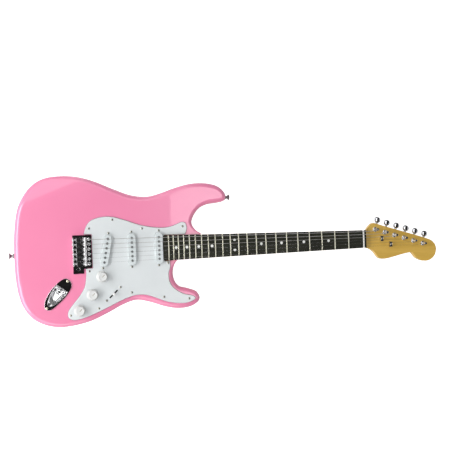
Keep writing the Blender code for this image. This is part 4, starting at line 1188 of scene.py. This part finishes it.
def guard_outline():
    """Counter-clockwise from the neck pocket's bass side; a point given twice is a corner."""
    bass = [
        (-427, 28.9), (-427, 28.9), (-423.5, 36), (-422.3, 45), (-425, 54), (-433, 57), (-444, 53.3),
        (-458, 48.3), (-476, 46), (-500, 48), (-530, 54.5), (-560, 65.5), (-585, 73), (-604, 75),
        (-622, 72.5), (-636, 67), (-644.5, 58), (-649.5, 47), (-652, 37), (-652, 37),
    ]
    bridge = [(-635, 37), (-635, 37), (-635, -37), (-635, -37), (-650, -37), (-650, -37)]
    rear = [
        (-650, -52), (-654, -76), (-665, -95), (-680, -113), (-690, -126), (-692.5, -137), (-688, -145),
        (-675, -148), (-650, -142.6), (-615, -129), (-578, -112.7), (-552, -103.3), (-533, -101),
    ]
    horn = [
        (-517, -103), (-498, -110), (-475, -119.5), (-455, -123.8), (-438, -125.5), (-421, -123.6),
        (-410.5, -118.5), (-409, -113.8), (-416, -109), (-434, -104.3), (-450, -95.5), (-461.5, -84),
        (-467, -70), (-467, -55), (-463.5, -44), (-463, -28.9), (-463, -28.9),
    ]
    neck_end = [(HEEL_END - 0.8, -28.9)] * 2 + [(HEEL_END - 0.8, 28.9)] * 2
    plan = bass + bridge + rear + horn + neck_end
    corners = [Vector(p) for p, q in zip(plan, plan[1:]) if p == q]
    room = 2.0

    def clear(point):
        return all((point - corner).length < 1e-4 or (point - corner).length > room for corner in corners)

    return counter_clockwise([p for p in smooth_outline(plan) if clear(p)])


def pickguard():
    """Three plies whose edge is cut at a slope, so the dark middle ply shows as a line."""
    outline = guard_outline()
    ply_low, ply_high = 1.05, 1.5
    levels = ((0.0, GAP), (0.0, ply_low), (0.45, ply_high), (1.25, GUARD_TOP))
    rings = [at_height(inset(outline, lambda p, s=s: s), z) for s, z in levels]
    cuts = []
    for x, y, slant, _ in PICKUPS.values():
        opening = placed(stadium(COVER_LENGTH + 0.5, COVER_WIDTH + 0.5), (x, y), radians(slant))
        cuts.append(prism(opening, -2, 5))
    cuts += [pin(x, y, -2, 5, 5.1) for x, y in KNOBS.values()]
    cuts.append(prism(placed(stadium(25, 3.4), SWITCH_CENTRE, SWITCH_ANGLE - pi / 2), -2, 5))
    made = piece(
        "pickguard_plies", loft(rings), ROOT, "white_plastic", GUARD, PLY, replaces=["pickguard"],
        cuts=cuts, sharp=20,
    )
    dark_low, dark_high = (world((0, 0, z)).z for z in (ply_low, ply_high))
    for face in made.data.polygons:
        heights = [made.data.vertices[i].co.z for i in face.vertices]
        if min(heights) > dark_low - 1e-5 and max(heights) < dark_high + 1e-5:
            face.material_index = 1
    screws("pickguard_screws", [upright(x, y, GUARD_TOP + 0.1) for x, y in GUARD_SCREWS], 2.7, SCREW)


def pickup(name):
    """Cover, six pole pieces, wound coil between two fibre plates, and the two height screws."""
    x, y, slant, reach = PICKUPS[name]
    turn = radians(slant)

    def ring(length, width, z, steps=16):
        return at_height(placed(stadium(length, width, steps), (x, y), turn), z)

    poles = []
    for number in range(6):
        offset = reach * (0.5 - number / 5)
        poles.append((x - offset * sin(turn), y + offset * cos(turn)))
    shape = [(0.0, -6.0), (0.0, 6.9)]
    shape += [(1.6 * (1 - cos(a)), 6.9 + 1.7 * sin(a)) for a in [pi / 2 * k / 5 for k in range(1, 6)]]
    outer = [ring(COVER_LENGTH - 2 * s, COVER_WIDTH - 2 * s, z) for s, z in shape]
    inner = [ring(COVER_LENGTH - 3.4, COVER_WIDTH - 3.4, z) for z in (7.1, -6.0)]
    cuts = [pin(px, py, 4, 12, POLE_RADIUS + 0.35) for px, py in poles]
    piece(
        f"pickup_{name}_cover", loft(inner + outer), ROOT, "white_plastic", COVER,
        replaces=[f"pickup_cover_{name}"], cuts=cuts, sharp=35,
    )
    sizes = ((86, 20, -8.5, -6.6), (66, 14, 5, 6.4))
    plates = [loft([ring(length, width, z) for z in (low, high)]) for length, width, low, high in sizes]
    piece(
        f"pickup_{name}_fibre", gather(*plates), ROOT, "black_plastic", BLACK,
        replaces=[f"pickup_coil_{name}"], bevel=0.2,
    )
    windings = loft([ring(62 - 2 * s, 12 - 2 * s, z) for s, z in ((0, -6.6), (0.6, -4), (0.6, 3), (0, 5))])
    piece(f"pickup_{name}_coil", windings, ROOT, "black_plastic", COPPER)
    heights = (0.9, 1.1, 1.1, 0.8, 0.9, 0.5)
    rods = []
    for (px, py), rise in zip(poles, heights):
        top = COVER_TOP + rise
        profile = [
            (2.1, -14), (POLE_RADIUS, -13.7), (POLE_RADIUS, top - 0.35), (2.15, top - 0.05), (0.02, top),
        ]
        rods.append(turned(profile, 28, upright(px, py)))
    piece(f"pickup_{name}_poles", gather(*rods), ROOT, "plain_steel", POLES, sharp=30)
    places = [upright(sx, sy, GUARD_TOP + 0.25) for sx, sy in PICKUP_SCREWS[name]]
    screws(f"pickup_{name}_screws", places, 2.6, SCREW)


def knob(name):
    """Skirted knob with flutes, a dished top, numbers round the skirt and a line on the top."""
    x, y = KNOBS[name]
    foot = GUARD_TOP + 0.8
    top = foot + 14.5
    profile = [
        (3.0, -12, 0), (3.0, foot + 6.5, 0), (8.0, foot + 6.5, 0), (10.6, foot, 0), (12.5, foot, 0),
        (12.8, foot + 0.3, 0), (12.8, foot + 0.9, 0), (12.5, foot + 1.3, 0), (10.8, foot + 4.2, 0),
        (10.4, foot + 5.0, 0.3), (10.15, foot + 5.8, 1), (9.75, top - 1.6, 1), (9.5, top - 0.8, 0.8),
        (9.0, top - 0.2, 0.25), (8.3, top, 0), (7.4, top, 0), (7.1, top - 0.35, 0), (3.0, top - 0.55, 0),
        (0.05, top - 0.6, 0),
    ]
    rings = []
    for r, z, depth in profile:
        ring = []
        for a in full_turn(144):
            reach = r - FLUTE_DEPTH * depth * (1 - abs(sin(FLUTE_COUNT / 2 * a)) ** 0.6)
            ring.append(Vector((x + reach * cos(a), y + reach * sin(a), z)))
        rings.append(ring)
    body_name = f"{name}_control"
    piece(
        f"{name}_knob_fluted", loft(rings), body_name, "white_plastic", KNOB, replaces=[f"{name}_knob"],
        sharp=50,
    )
    slope = atan2(2.9, 1.7)
    marks = []
    for number in range(1, 11):
        around = radians(150 - 30 * (number - 1))
        spot = Matrix.Translation((11.72, 0, foot + 2.72)) @ Matrix.Rotation(slope, 4, "Y")
        turn = upright(x, y) @ Matrix.Rotation(around, 4, "Z")
        marks.append(moved(digits(str(number), 2.8), turn @ spot @ Matrix.Rotation(pi / 2, 4, "Z")))
    pointer = rounded_rectangle((-0.5, -1.5), (0.5, 6.6), 0.45, 4)
    line = rounded_prism(pointer, top - 0.62, top - 0.36, top=0.08, steps=2)
    marks.append(moved(line, upright(x, y) @ Matrix.Rotation(radians(-45), 4, "Z")))
    piece(f"{name}_knob_marks", gather(*marks), body_name, "white_plastic", INK, even=False)


def digits(text, size):
    """A number as a thin solid, centred on the origin, facing +Z."""
    curve = bpy.data.curves.new("digits", "FONT")
    curve.body = text
    curve.size = size
    curve.extrude = 0.06
    curve.align_x = "CENTER"
    curve.align_y = "CENTER"
    made = bpy.data.objects.new("digits", curve)
    bpy.context.scene.collection.objects.link(made)
    bpy.context.view_layer.update()
    mesh = bpy.data.meshes.new_from_object(made.evaluated_get(bpy.context.evaluated_depsgraph_get()))
    bm = bmesh.new()
    bm.from_mesh(mesh)
    bpy.data.objects.remove(made)
    bpy.data.curves.remove(curve)
    bpy.data.meshes.remove(mesh)
    return bm


def swell(share):
    """A cosine or sine that makes a rounded square of a circle."""
    return copysign(abs(share) ** 0.55, share)


def selector():
    """The five-way switch's tip, waisted under its rounded end, and the switch's two screws."""
    place = Matrix.Translation((*SWITCH_CENTRE, 0)) @ Matrix.Rotation(SWITCH_ANGLE, 4, "Z")
    levels = (
        (2.5, 1.9, 5.6), (3.0, 2.4, 5.8), (3.3, 2.6, 6.4), (3.2, 2.55, 7.4), (2.8, 2.35, 9.0),
        (2.7, 2.3, 10.5), (2.9, 2.35, 12.2), (3.2, 2.5, 13.8), (3.1, 2.4, 14.8), (2.7, 2.0, 15.4),
        (1.9, 1.2, 15.7),
    )
    rings = []
    for a, b, z in levels:
        rings.append([place @ Vector((a * swell(cos(t)), b * swell(sin(t)), z)) for t in full_turn(28)])
    slot = moved(block((-2.5, -1.1, 3), (2.5, 1.1, 10.3)), place)
    piece(
        "selector_tip", loft(rings), "selector", "white_plastic", KNOB, replaces=["switch_tip"],
        cuts=[slot], sharp=45,
    )
    screws("selector_screws", [upright(x, y, GUARD_TOP + 0.1) for x, y in SWITCH_SCREWS], 2.7, SCREW)


# ---------------------------------------------------------------- vibrato bridge


def pivot_y(number):
    return string_y(number) * PIVOT_SPREAD


def bridge_plate():
    """Plate with its rear lip, the arm's threaded collar and the six pivot screws."""
    plan = [(-636, -36), (-636, 36), (PLATE_REAR, 36), (PLATE_REAR, -48), (-654, -48), (-654, -36)]
    outline = []
    for i in range(len(plan)):
        here, before, after = (Vector(plan[(i + k) % len(plan)]) for k in (0, -1, 1))
        into, out = (before - here).normalized(), (after - here).normalized()
        for t in (0, 0.25, 0.5, 0.75, 1):
            outline.append(here + (into * (1 - t) ** 2 + out * t**2) * 1.4)
    wedge = [(PIVOT_X, GAP), (PIVOT_X, -2), (-630, -2), (-630, GAP + 2.8)]
    cuts = [loft([[Vector((x, y, z)) for x, z in wedge] for y in (-50, 50)])]
    for number in STRINGS:
        cuts.append(pin(STRING_HOLE_X, string_y(number), -2, 5, 2.0))
        cuts.append(pin(PIVOT_X, pivot_y(number), -2, 5, 2.5))
    cuts.append(pin(*ARM_HOLE, -2, 5, 3.0))
    lip = rounded_rectangle((PLATE_REAR, -31.5), (PLATE_REAR + 2, 31.5), 0.9)
    lip = rounded_prism(lip, PLATE_TOP - 1, 9.5, top=0.6)
    plate = prism(counter_clockwise(outline), GAP, PLATE_TOP)
    piece(
        "bridge_plate_plated", plate, BRIDGE, "chrome_plate", CHROME, replaces=["bridge_plate"], cuts=cuts,
        joins=[lip], bevel=0.35,
    )
    profile = [(2.9, 0.5), (2.9, 3.2), (3.2, 3.5), (3.9, 3.3), (4.1, 2.7), (4.1, 2.4), (2.9, 2.4)]
    collar = turned(profile, 36, upright(*ARM_HOLE))
    piece("arm_collar", collar, BRIDGE, "chrome_plate", CHROME)
    places = [upright(PIVOT_X, pivot_y(number), PLATE_TOP + 0.75) for number in STRINGS]
    screws("pivot_screws", places, 3.7, CHROME, drive="slot")
    shanks = [pin(PIVOT_X, pivot_y(number), -16, 2, 1.7, 16) for number in STRINGS]
    piece("pivot_screw_shanks", gather(*shanks), ROOT, "plain_steel", STEEL)


def saddle(number):
    """Bent steel with a slot for the string and holes for its two height screws."""
    y = string_y(number)
    outer = [
        (-647.6, 8.6), (-647.6, 12.6), (-647.9, 13.6), (-648.7, 14.2), (-649.8, 14.4), (-651.0, 14.3),
        (-654.8, 13.8), (-656.0, 13.5), (-667.9, 10.7), (-668.7, 10.5), (-669.2, 9.8), (-669.3, 8.8),
    ]
    inner = [
        (-669.3, 3.6), (-667.6, 3.6), (-667.6, 8.4), (-667.0, 9.3), (-665.9, 9.6), (-652.0, 12.4),
        (-650.4, 12.5), (-649.6, 11.8), (-649.4, 8.6),
    ]
    shell = loft([[Vector((x, y + side, z)) for x, z in outer + inner] for side in (-4.95, 4.95)])
    slot = prism(placed(stadium(9.5, 2.6), (-656.8, y), pi / 2), 7, 17)
    holes = [pin(GRUB_X, y + side, 10, 17, 1.55, 20) for side in GRUB_SIDES]
    piece(
        f"saddle_{number}_bent", shell, BRIDGE, "chrome_plate", CHROME, replaces=[f"saddle_{number}"],
        cuts=[slot, *holes], bevel=0.3, sharp=30,
    )


def saddle_hardware():
    """Height screws, length screws and the springs on them, for all the saddles."""
    grubs, rods, coils, heads = [], [], [], []
    for number in STRINGS:
        y = string_y(number)
        for side in GRUB_SIDES:
            grubs.append(upright(GRUB_X, y + side, 14.15))
            rods.append(pin(GRUB_X, y + side, PLATE_TOP + 0.05, 12.6, 1.4, 16))
        rear = PLATE_REAR - 0.3
        heads.append(axis_place((rear, y, 6.3), (-1, 0, 0)))
        rods.append(rod((rear - 0.2, y, 6.3), (-661.5, y, 6.3), 1.25, 16))
        coils.append(tube(helix(axis_place((-674.9, y, 6.3), (1, 0, 0)), 1.9, 0.2, 5.2, 4.5, 14), 0.32, 6))
    screws("saddle_height_screws", grubs, 1.45, CHROME, BRIDGE, drive="hex")
    piece("saddle_screw_shanks", gather(*rods), BRIDGE, "plain_steel", STEEL)
    piece("saddle_springs", gather(*coils), BRIDGE, "plain_steel", STEEL)
    screws("intonation_screws", heads, 2.5, CHROME, BRIDGE)


def vibrato_spring(number):
    """A close-wound spring from the block to the claw, with a hook at each end."""
    y = 16.0 * (2 - number)
    place = axis_place((BLOCK_FRONT + GAP, y, SPRING_Z), (1, 0, 0))
    turns = 34
    coil = helix(place, SPRING_RADIUS - 0.5, 8, 62, turns, 16)
    hook = [place @ Vector(p) for p in ((0, 0, 0.2), (0, 0, 3), (1.0, 0, 5.5), (2.6, 0, 7.2))]
    far = [place @ Vector(p) for p in ((2.6, 0, 62.8), (1.0, 0, 65), (0, 0, 67), (0, 0, 71.2))]
    made = model(f"vibrato_spring_{number}_coil", tube(hook + coil + far, 0.5, 6), even=False)
    made.data.materials.append(STEEL)
    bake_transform(made)
    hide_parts(f"trem_spring_{number}")


def vibrato_cover():
    """The back cover, with its slot for the strings' ball ends, and its six screws."""
    outline = rounded_rectangle((-694, -46), (-546, 46), 8, 10)
    plate = moved(rounded_prism(outline, -(BACK - GAP), -FLOOR, top=0.8, steps=3), DOWNWARD)
    slot = prism(placed(stadium(66, 14), (-656.5, 0)), FLOOR - 2, BACK + 2)
    piece(
        "vibrato_cover_plate", plate, ROOT, "white_plastic", GUARD, replaces=["trem_cover"], cuts=[slot],
        bevel=0.25,
    )
    places = [
        Matrix.Translation((x, y, FLOOR + 1.3)) @ DOWNWARD for x in (-687, -620, -553) for y in (-40, 40)
    ]
    screws("vibrato_cover_screws", places, 2.4, SCREW)


# ---------------------------------------------------------------- jack and strap buttons


def radius_at(outline, centre, angle):
    """Distance from centre to the closed outline along angle."""
    ray = Vector((cos(angle), sin(angle)))
    far = 0.0
    for p, q in zip(outline, outline[1:] + outline[:1]):
        edge, start = q - p, p - centre
        bottom = ray.cross(edge)
        if abs(bottom) < 1e-9:
            continue
        reach, share = start.cross(edge) / bottom, start.cross(ray) / bottom
        if 0 <= share <= 1 and reach > far:
            far = reach
    return far


def jack_plate():
    """Boat-shaped plate with a smooth sunken dish: steep at the socket's end, rising to the tip."""
    outline = [
        (-700, -57.5), (-711, -65), (-721, -74), (-730, -85), (-737, -96.5), (-741, -108), (-741.5, -116),
        (-738, -122), (-731, -123.8), (-723, -120.5), (-712, -111.5), (-700, -101), (-690, -89),
        (-683.5, -78), (-682, -69), (-686, -60.5), (-693, -56.7),
    ]
    outline = smooth_outline(outline)
    rim, centre = dish_rim(0)
    end_a, end_b = rim[0], rim[-1]
    rim_curve = smooth_outline([end_b, end_b, end_a, end_a] + [tuple(p) for p in rim[1:-1]], 8)
    along = Vector((cos(JACK_ANGLE), sin(JACK_ANGLE)))
    side = Vector((-along.y, along.x))
    deep = (end_a + end_b) / 2 - along * JACK_WALL_RUN
    base = [deep + side * 7.5, deep - side * 7.5, deep - along * 16 - side * 4, deep - along * 16 + side * 4]
    base_centre = sum(base, Vector((0, 0))) / 4
    sides = 128
    angles = full_turn(sides)
    rays = [Vector((cos(a), sin(a))) for a in angles]
    plan = [radius_at(outline, centre, a) for a in angles]
    hole = [radius_at(rim_curve, centre, a) for a in angles]
    pit = [radius_at(base, base_centre, a) for a in angles]

    def ring(distances, z, shift):
        return [Vector((*(centre + ray * (d + shift)), z)) for ray, d in zip(rays, distances)]

    def floor_z(point):
        past = max(0.0, (deep - point).dot(along))
        return DISH_DEEP + (-8.0 - DISH_DEEP) * min(1.0, past / 16)

    rim_out = ((GAP, 0), (1.1, 0), (1.5, -0.12), (1.72, -0.4), (JACK_PLATE_TOP, -0.8))
    rim_in = ((JACK_PLATE_TOP, 0.9), (1.72, 0.45), (1.45, 0.12), (1.0, -0.1))
    rings = [ring(plan, z, shift) for z, shift in rim_out] + [ring(hole, z, shift) for z, shift in rim_in]
    foot = [Vector((*(base_centre + ray * d), 0)) for ray, d in zip(rays, pit)]
    for point in foot:
        point.z = floor_z(point.xy)
    upper = rings[-1]
    for share in (0.12, 0.25, 0.4, 0.55, 0.7, 0.82, 0.91, 0.97, 1.0):
        sag = -0.07 * sin(2 * pi * share)
        rings.append([u.lerp(f, share) + Vector((0, 0, (f.z - u.z) * sag)) for u, f in zip(upper, foot)])
    for scale in (0.85, 0.5, 0.1):
        plan_points = [base_centre + (f.xy - base_centre) * scale for f in foot]
        rings.append([Vector((*p, floor_z(p))) for p in plan_points])
    bm = loft(rings, closed_ends=False)
    bm.faces.new(bm.verts[:][-sides:])
    bmesh.ops.recalc_face_normals(bm, faces=bm.faces)
    made = plain_object("jack_plate_boat", bm)
    if made.data.polygons[5 * sides].normal.z < 0:
        made.data.flip_normals()
    wall = made.modifiers.new("wall", "SOLIDIFY")
    wall.thickness = 0.9 * MM
    wall.offset = -1
    hole_tool = plain_object("jack_hole_tool", turned([(5.3, -5), (5.3, 5)], 32, jack_frame()))
    opening = made.modifiers.new("opening", "BOOLEAN")
    opening.operation = "DIFFERENCE"
    opening.object = hole_tool
    apply_modifiers(made)
    bpy.data.objects.remove(hole_tool)
    made.data.shade_smooth()
    made.data.set_sharp_from_angle(angle=radians(50))
    made.modifiers.new("normals", "WEIGHTED_NORMAL").keep_sharp = True
    apply_modifiers(made)
    show(made, ROOT, "chrome_plate", CHROME, replaces=["jack_plate"])
    screws("jack_plate_screws", [upright(-690.1, -62.4, 2.1), upright(-736.5, -118.9, 2.1)], 3.0, GOLD)


def jack_socket():
    """Barrel, hexagonal nut and the dark bore, square to the dish's steep wall; the bore's black sleeve is
    painted shade.
    """
    place = jack_frame()
    profile = [
        (3.2, -20), (3.2, 3.4), (3.4, 3.6), (4.5, 3.6), (4.7, 3.4), (4.7, -3.0), (8.4, -3.0), (8.6, -3.3),
    ]
    barrel = turned([*profile, (8.6, -23)], 40, place)
    nut_outline = [Vector((6.3 * cos(pi / 3 * k), 6.3 * sin(pi / 3 * k))) for k in range(6)]
    hex_nut = moved(prism(nut_outline, 0.5, 2.7), place)
    piece(
        "jack_socket_barrel", barrel, ROOT, "plain_steel", CHROME, replaces=["jack_socket"],
        cuts=[turned([(3.15, -19), (3.15, 5)], 32, place)], sharp=35,
    )
    bore = turned([(4.75, 0), (4.75, 4)], 32, place)
    piece("jack_nut", hex_nut, ROOT, "plain_steel", CHROME, cuts=[bore], bevel=0.35)
    # A thin black sleeve inside the barrel's bore: painted shade, so that the hole reads dark.
    bore_shade_sleeve = turned([(3.1, -18), (3.1, 0.5), (2.9, 0.5), (2.9, -17.8)], 24, place)
    piece("jack_liner", bore_shade_sleeve, ROOT, "black_plastic", BLACK)


def strap_button(name, origin, direction):
    """A turned button on its felt washer, held by a screw."""
    place = axis_place(origin, direction)
    profile = [
        (1.5, -20), (1.5, 0.9), (5.1, 0.9), (5.0, 1.5), (4.1, 2.3), (3.4, 3.4), (3.25, 4.6), (3.4, 5.9),
        (4.2, 7.2), (5.6, 8.1), (6.6, 8.7), (6.9, 9.4), (6.8, 10.1), (6.2, 10.7), (5.2, 11.1), (3.4, 11.3),
        (2.2, 10.6), (0.05, 10.5),
    ]
    piece(
        f"strap_button_{name}_turned", turned(profile, 48, place), ROOT, "chrome_plate", SMOKED,
        replaces=[f"strap_button_{name}"], sharp=40,
    )
    washer = [(1.6, 0.02), (5.9, 0.02), (6.2, 0.35), (6.0, 0.75), (5.3, 0.88), (1.6, 0.88)]
    piece(f"strap_washer_{name}", turned(washer, 40, place), ROOT, "black_plastic", FELT)
    screws(f"strap_screw_{name}", [place @ Matrix.Translation((0, 0, 10.4))], 2.1, SCREW)


# ---------------------------------------------------------------- the studio


def camera():
    """A long lens nearly above the pickups, looking down on the guitar as it lies."""
    focal, frame_width, image_width = 815.0, 36.0, 450.0
    turn = Matrix.Rotation(radians(2.24), 3, "Z") @ Matrix.Rotation(radians(14.19), 3, "Y")
    turn = turn @ Matrix.Rotation(radians(-0.39), 3, "X")
    data = bpy.data.cameras.new("camera")
    data.sensor_width = frame_width
    data.lens = focal * frame_width / image_width
    made = bpy.data.objects.new("camera", data)
    made.matrix_world = Matrix.Translation(world((-788.2, 33.8, 1800.5))) @ turn.transposed().to_4x4()
    bpy.context.scene.collection.objects.link(made)
    bpy.context.scene.camera = made


def softbox(name, place, aim, width, height, power):
    data = bpy.data.lights.new(name, "AREA")
    data.shape = "RECTANGLE"
    data.size = width
    data.size_y = height
    data.energy = power
    made = bpy.data.objects.new(name, data)
    start, end = Vector(place), Vector(aim)
    turn = (end - start).to_track_quat("-Z", "Y").to_matrix().to_4x4()
    made.matrix_world = Matrix.Translation(start) @ turn
    bpy.context.scene.collection.objects.link(made)


def floor():
    """Pale ground that looks white, gives little light back, and is clear from below."""
    bm = bmesh.new()
    bmesh.ops.create_grid(bm, x_segments=1, y_segments=1, size=4.0)
    mesh = bpy.data.meshes.new("floor")
    bm.to_mesh(mesh)
    bm.free()
    made = bpy.data.objects.new("floor", mesh)
    made.location.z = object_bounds()[0][2] - 0.0005
    bpy.context.scene.collection.objects.link(made)
    look = bpy.data.materials.new("pale_floor")
    look.use_nodes = True
    tree = look.node_tree
    shader = tree.nodes["Principled BSDF"]
    shader.inputs["Base Color"].default_value = (0.6, 0.6, 0.6, 1)
    shader.inputs["Roughness"].default_value = 0.9
    shader.inputs["Emission Color"].default_value = (1, 1, 1, 1)
    seen = node(tree, "ShaderNodeLightPath").outputs["Is Camera Ray"]
    glow = node(tree, "ShaderNodeMapRange", {"Value": seen, "To Min": 0.25, "To Max": 1.0}).outputs["Result"]
    tree.links.new(glow, shader.inputs["Emission Strength"])
    clear = node(tree, "ShaderNodeBsdfTransparent").outputs["BSDF"]
    behind = node(tree, "ShaderNodeNewGeometry").outputs["Backfacing"]
    mixed = node(tree, "ShaderNodeMixShader", {0: behind, 1: shader.outputs["BSDF"], 2: clear})
    tree.links.new(mixed.outputs["Shader"], tree.nodes["Material Output"].inputs["Surface"])
    made.data.materials.append(look)
    made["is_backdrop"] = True


def sky():
    """Bright all round near the horizon and dim overhead, so that level chrome looks dark."""
    world_look = bpy.data.worlds.new("studio")
    bpy.context.scene.world = world_look
    world_look.use_nodes = True
    tree = world_look.node_tree
    direction = node(tree, "ShaderNodeTexCoord").outputs["Generated"]
    height = node(tree, "ShaderNodeSeparateXYZ", {"Vector": direction}).outputs["Z"]
    tone = ramp(tree, height, (0.0, grey(0.26)), (0.45, grey(0.24)), (0.72, grey(0.05)), (1.0, grey(0.01)))
    seen = node(tree, "ShaderNodeLightPath").outputs["Is Camera Ray"]
    mixed = node(tree, "ShaderNodeMix", {"Factor": seen}, data_type="RGBA")
    tree.links.new(tone, mixed.inputs["A"])
    mixed.inputs["B"].default_value = (1, 1, 1, 1)
    tree.links.new(mixed.outputs["Result"], tree.nodes["Background"].inputs["Color"])


def lights():
    """Soft lights, shown with the plain view so that white and pink stay clean."""
    bpy.context.scene.view_settings.view_transform = "Standard"
    softbox("over_neck", (0.52, 0.1, 1.95), (0.5, 0.1, 0.0), 0.9, 0.64, 5)
    softbox("over_bridge", (-0.72, 0.0, 1.9), (-0.34, 0.0, 0.0), 0.5, 0.20, 0.8)
    softbox("from_top", (-0.6, 1.5, 1.35), (-0.3, 0, 0), 1.6, 1.2, 6.5)
    softbox("from_bottom", (-0.6, -1.6, 1.2), (-0.3, 0, 0), 1.6, 1.2, 11)
    softbox("from_left", (-1.75, 0, 1.05), (-0.35, 0, 0), 2.6, 1.0, 43)
    softbox("into_dish", (0.06, 0.56, 1.3), (-0.4, -0.095, 0.04), 0.4, 0.34, 0.8)
    softbox("from_right", (1.6, -0.3, 0.7), (0.0, -0.1, 0.0), 1.2, 0.12, 1.8)


def repaint(look, *names):
    """Gives a look to CAD nodes that stay visible."""
    for name in names:
        for slot in frame["nodes"][name].material_slots:
            slot.material = look


def main():
    camera()
    floor()
    sky()
    lights()
    body()
    neck()
    fingerboard()
    fret_wires()
    inlays()
    nut()
    neck_plate()
    tuner_backs()
    for number in STRINGS:
        tuner_button(number)
        tuner_post(number)
        string(number)
        saddle(number)
    for number, (x, y) in enumerate(TREES, 1):
        string_tree(number, x, y)
    pickguard()
    for name in PICKUPS:
        pickup(name)
    for name in KNOBS:
        knob(name)
    selector()
    bridge_plate()
    saddle_hardware()
    for number in (1, 2, 3):
        vibrato_spring(number)
    vibrato_cover()
    jack_plate()
    jack_socket()
    for name, origin, direction in STRAP_BUTTONS:
        strap_button(name, origin, direction)
    repaint(
        STEEL, "truss_rod", *[f"{name}_pot" for name in KNOBS], "switch_lever", "trem_block", "spring_claw",
    )
    # The switch frame is painted black as painted shade, so that the slot in the pickguard reads dark.
    repaint(BLACK, "switch_frame")


main()
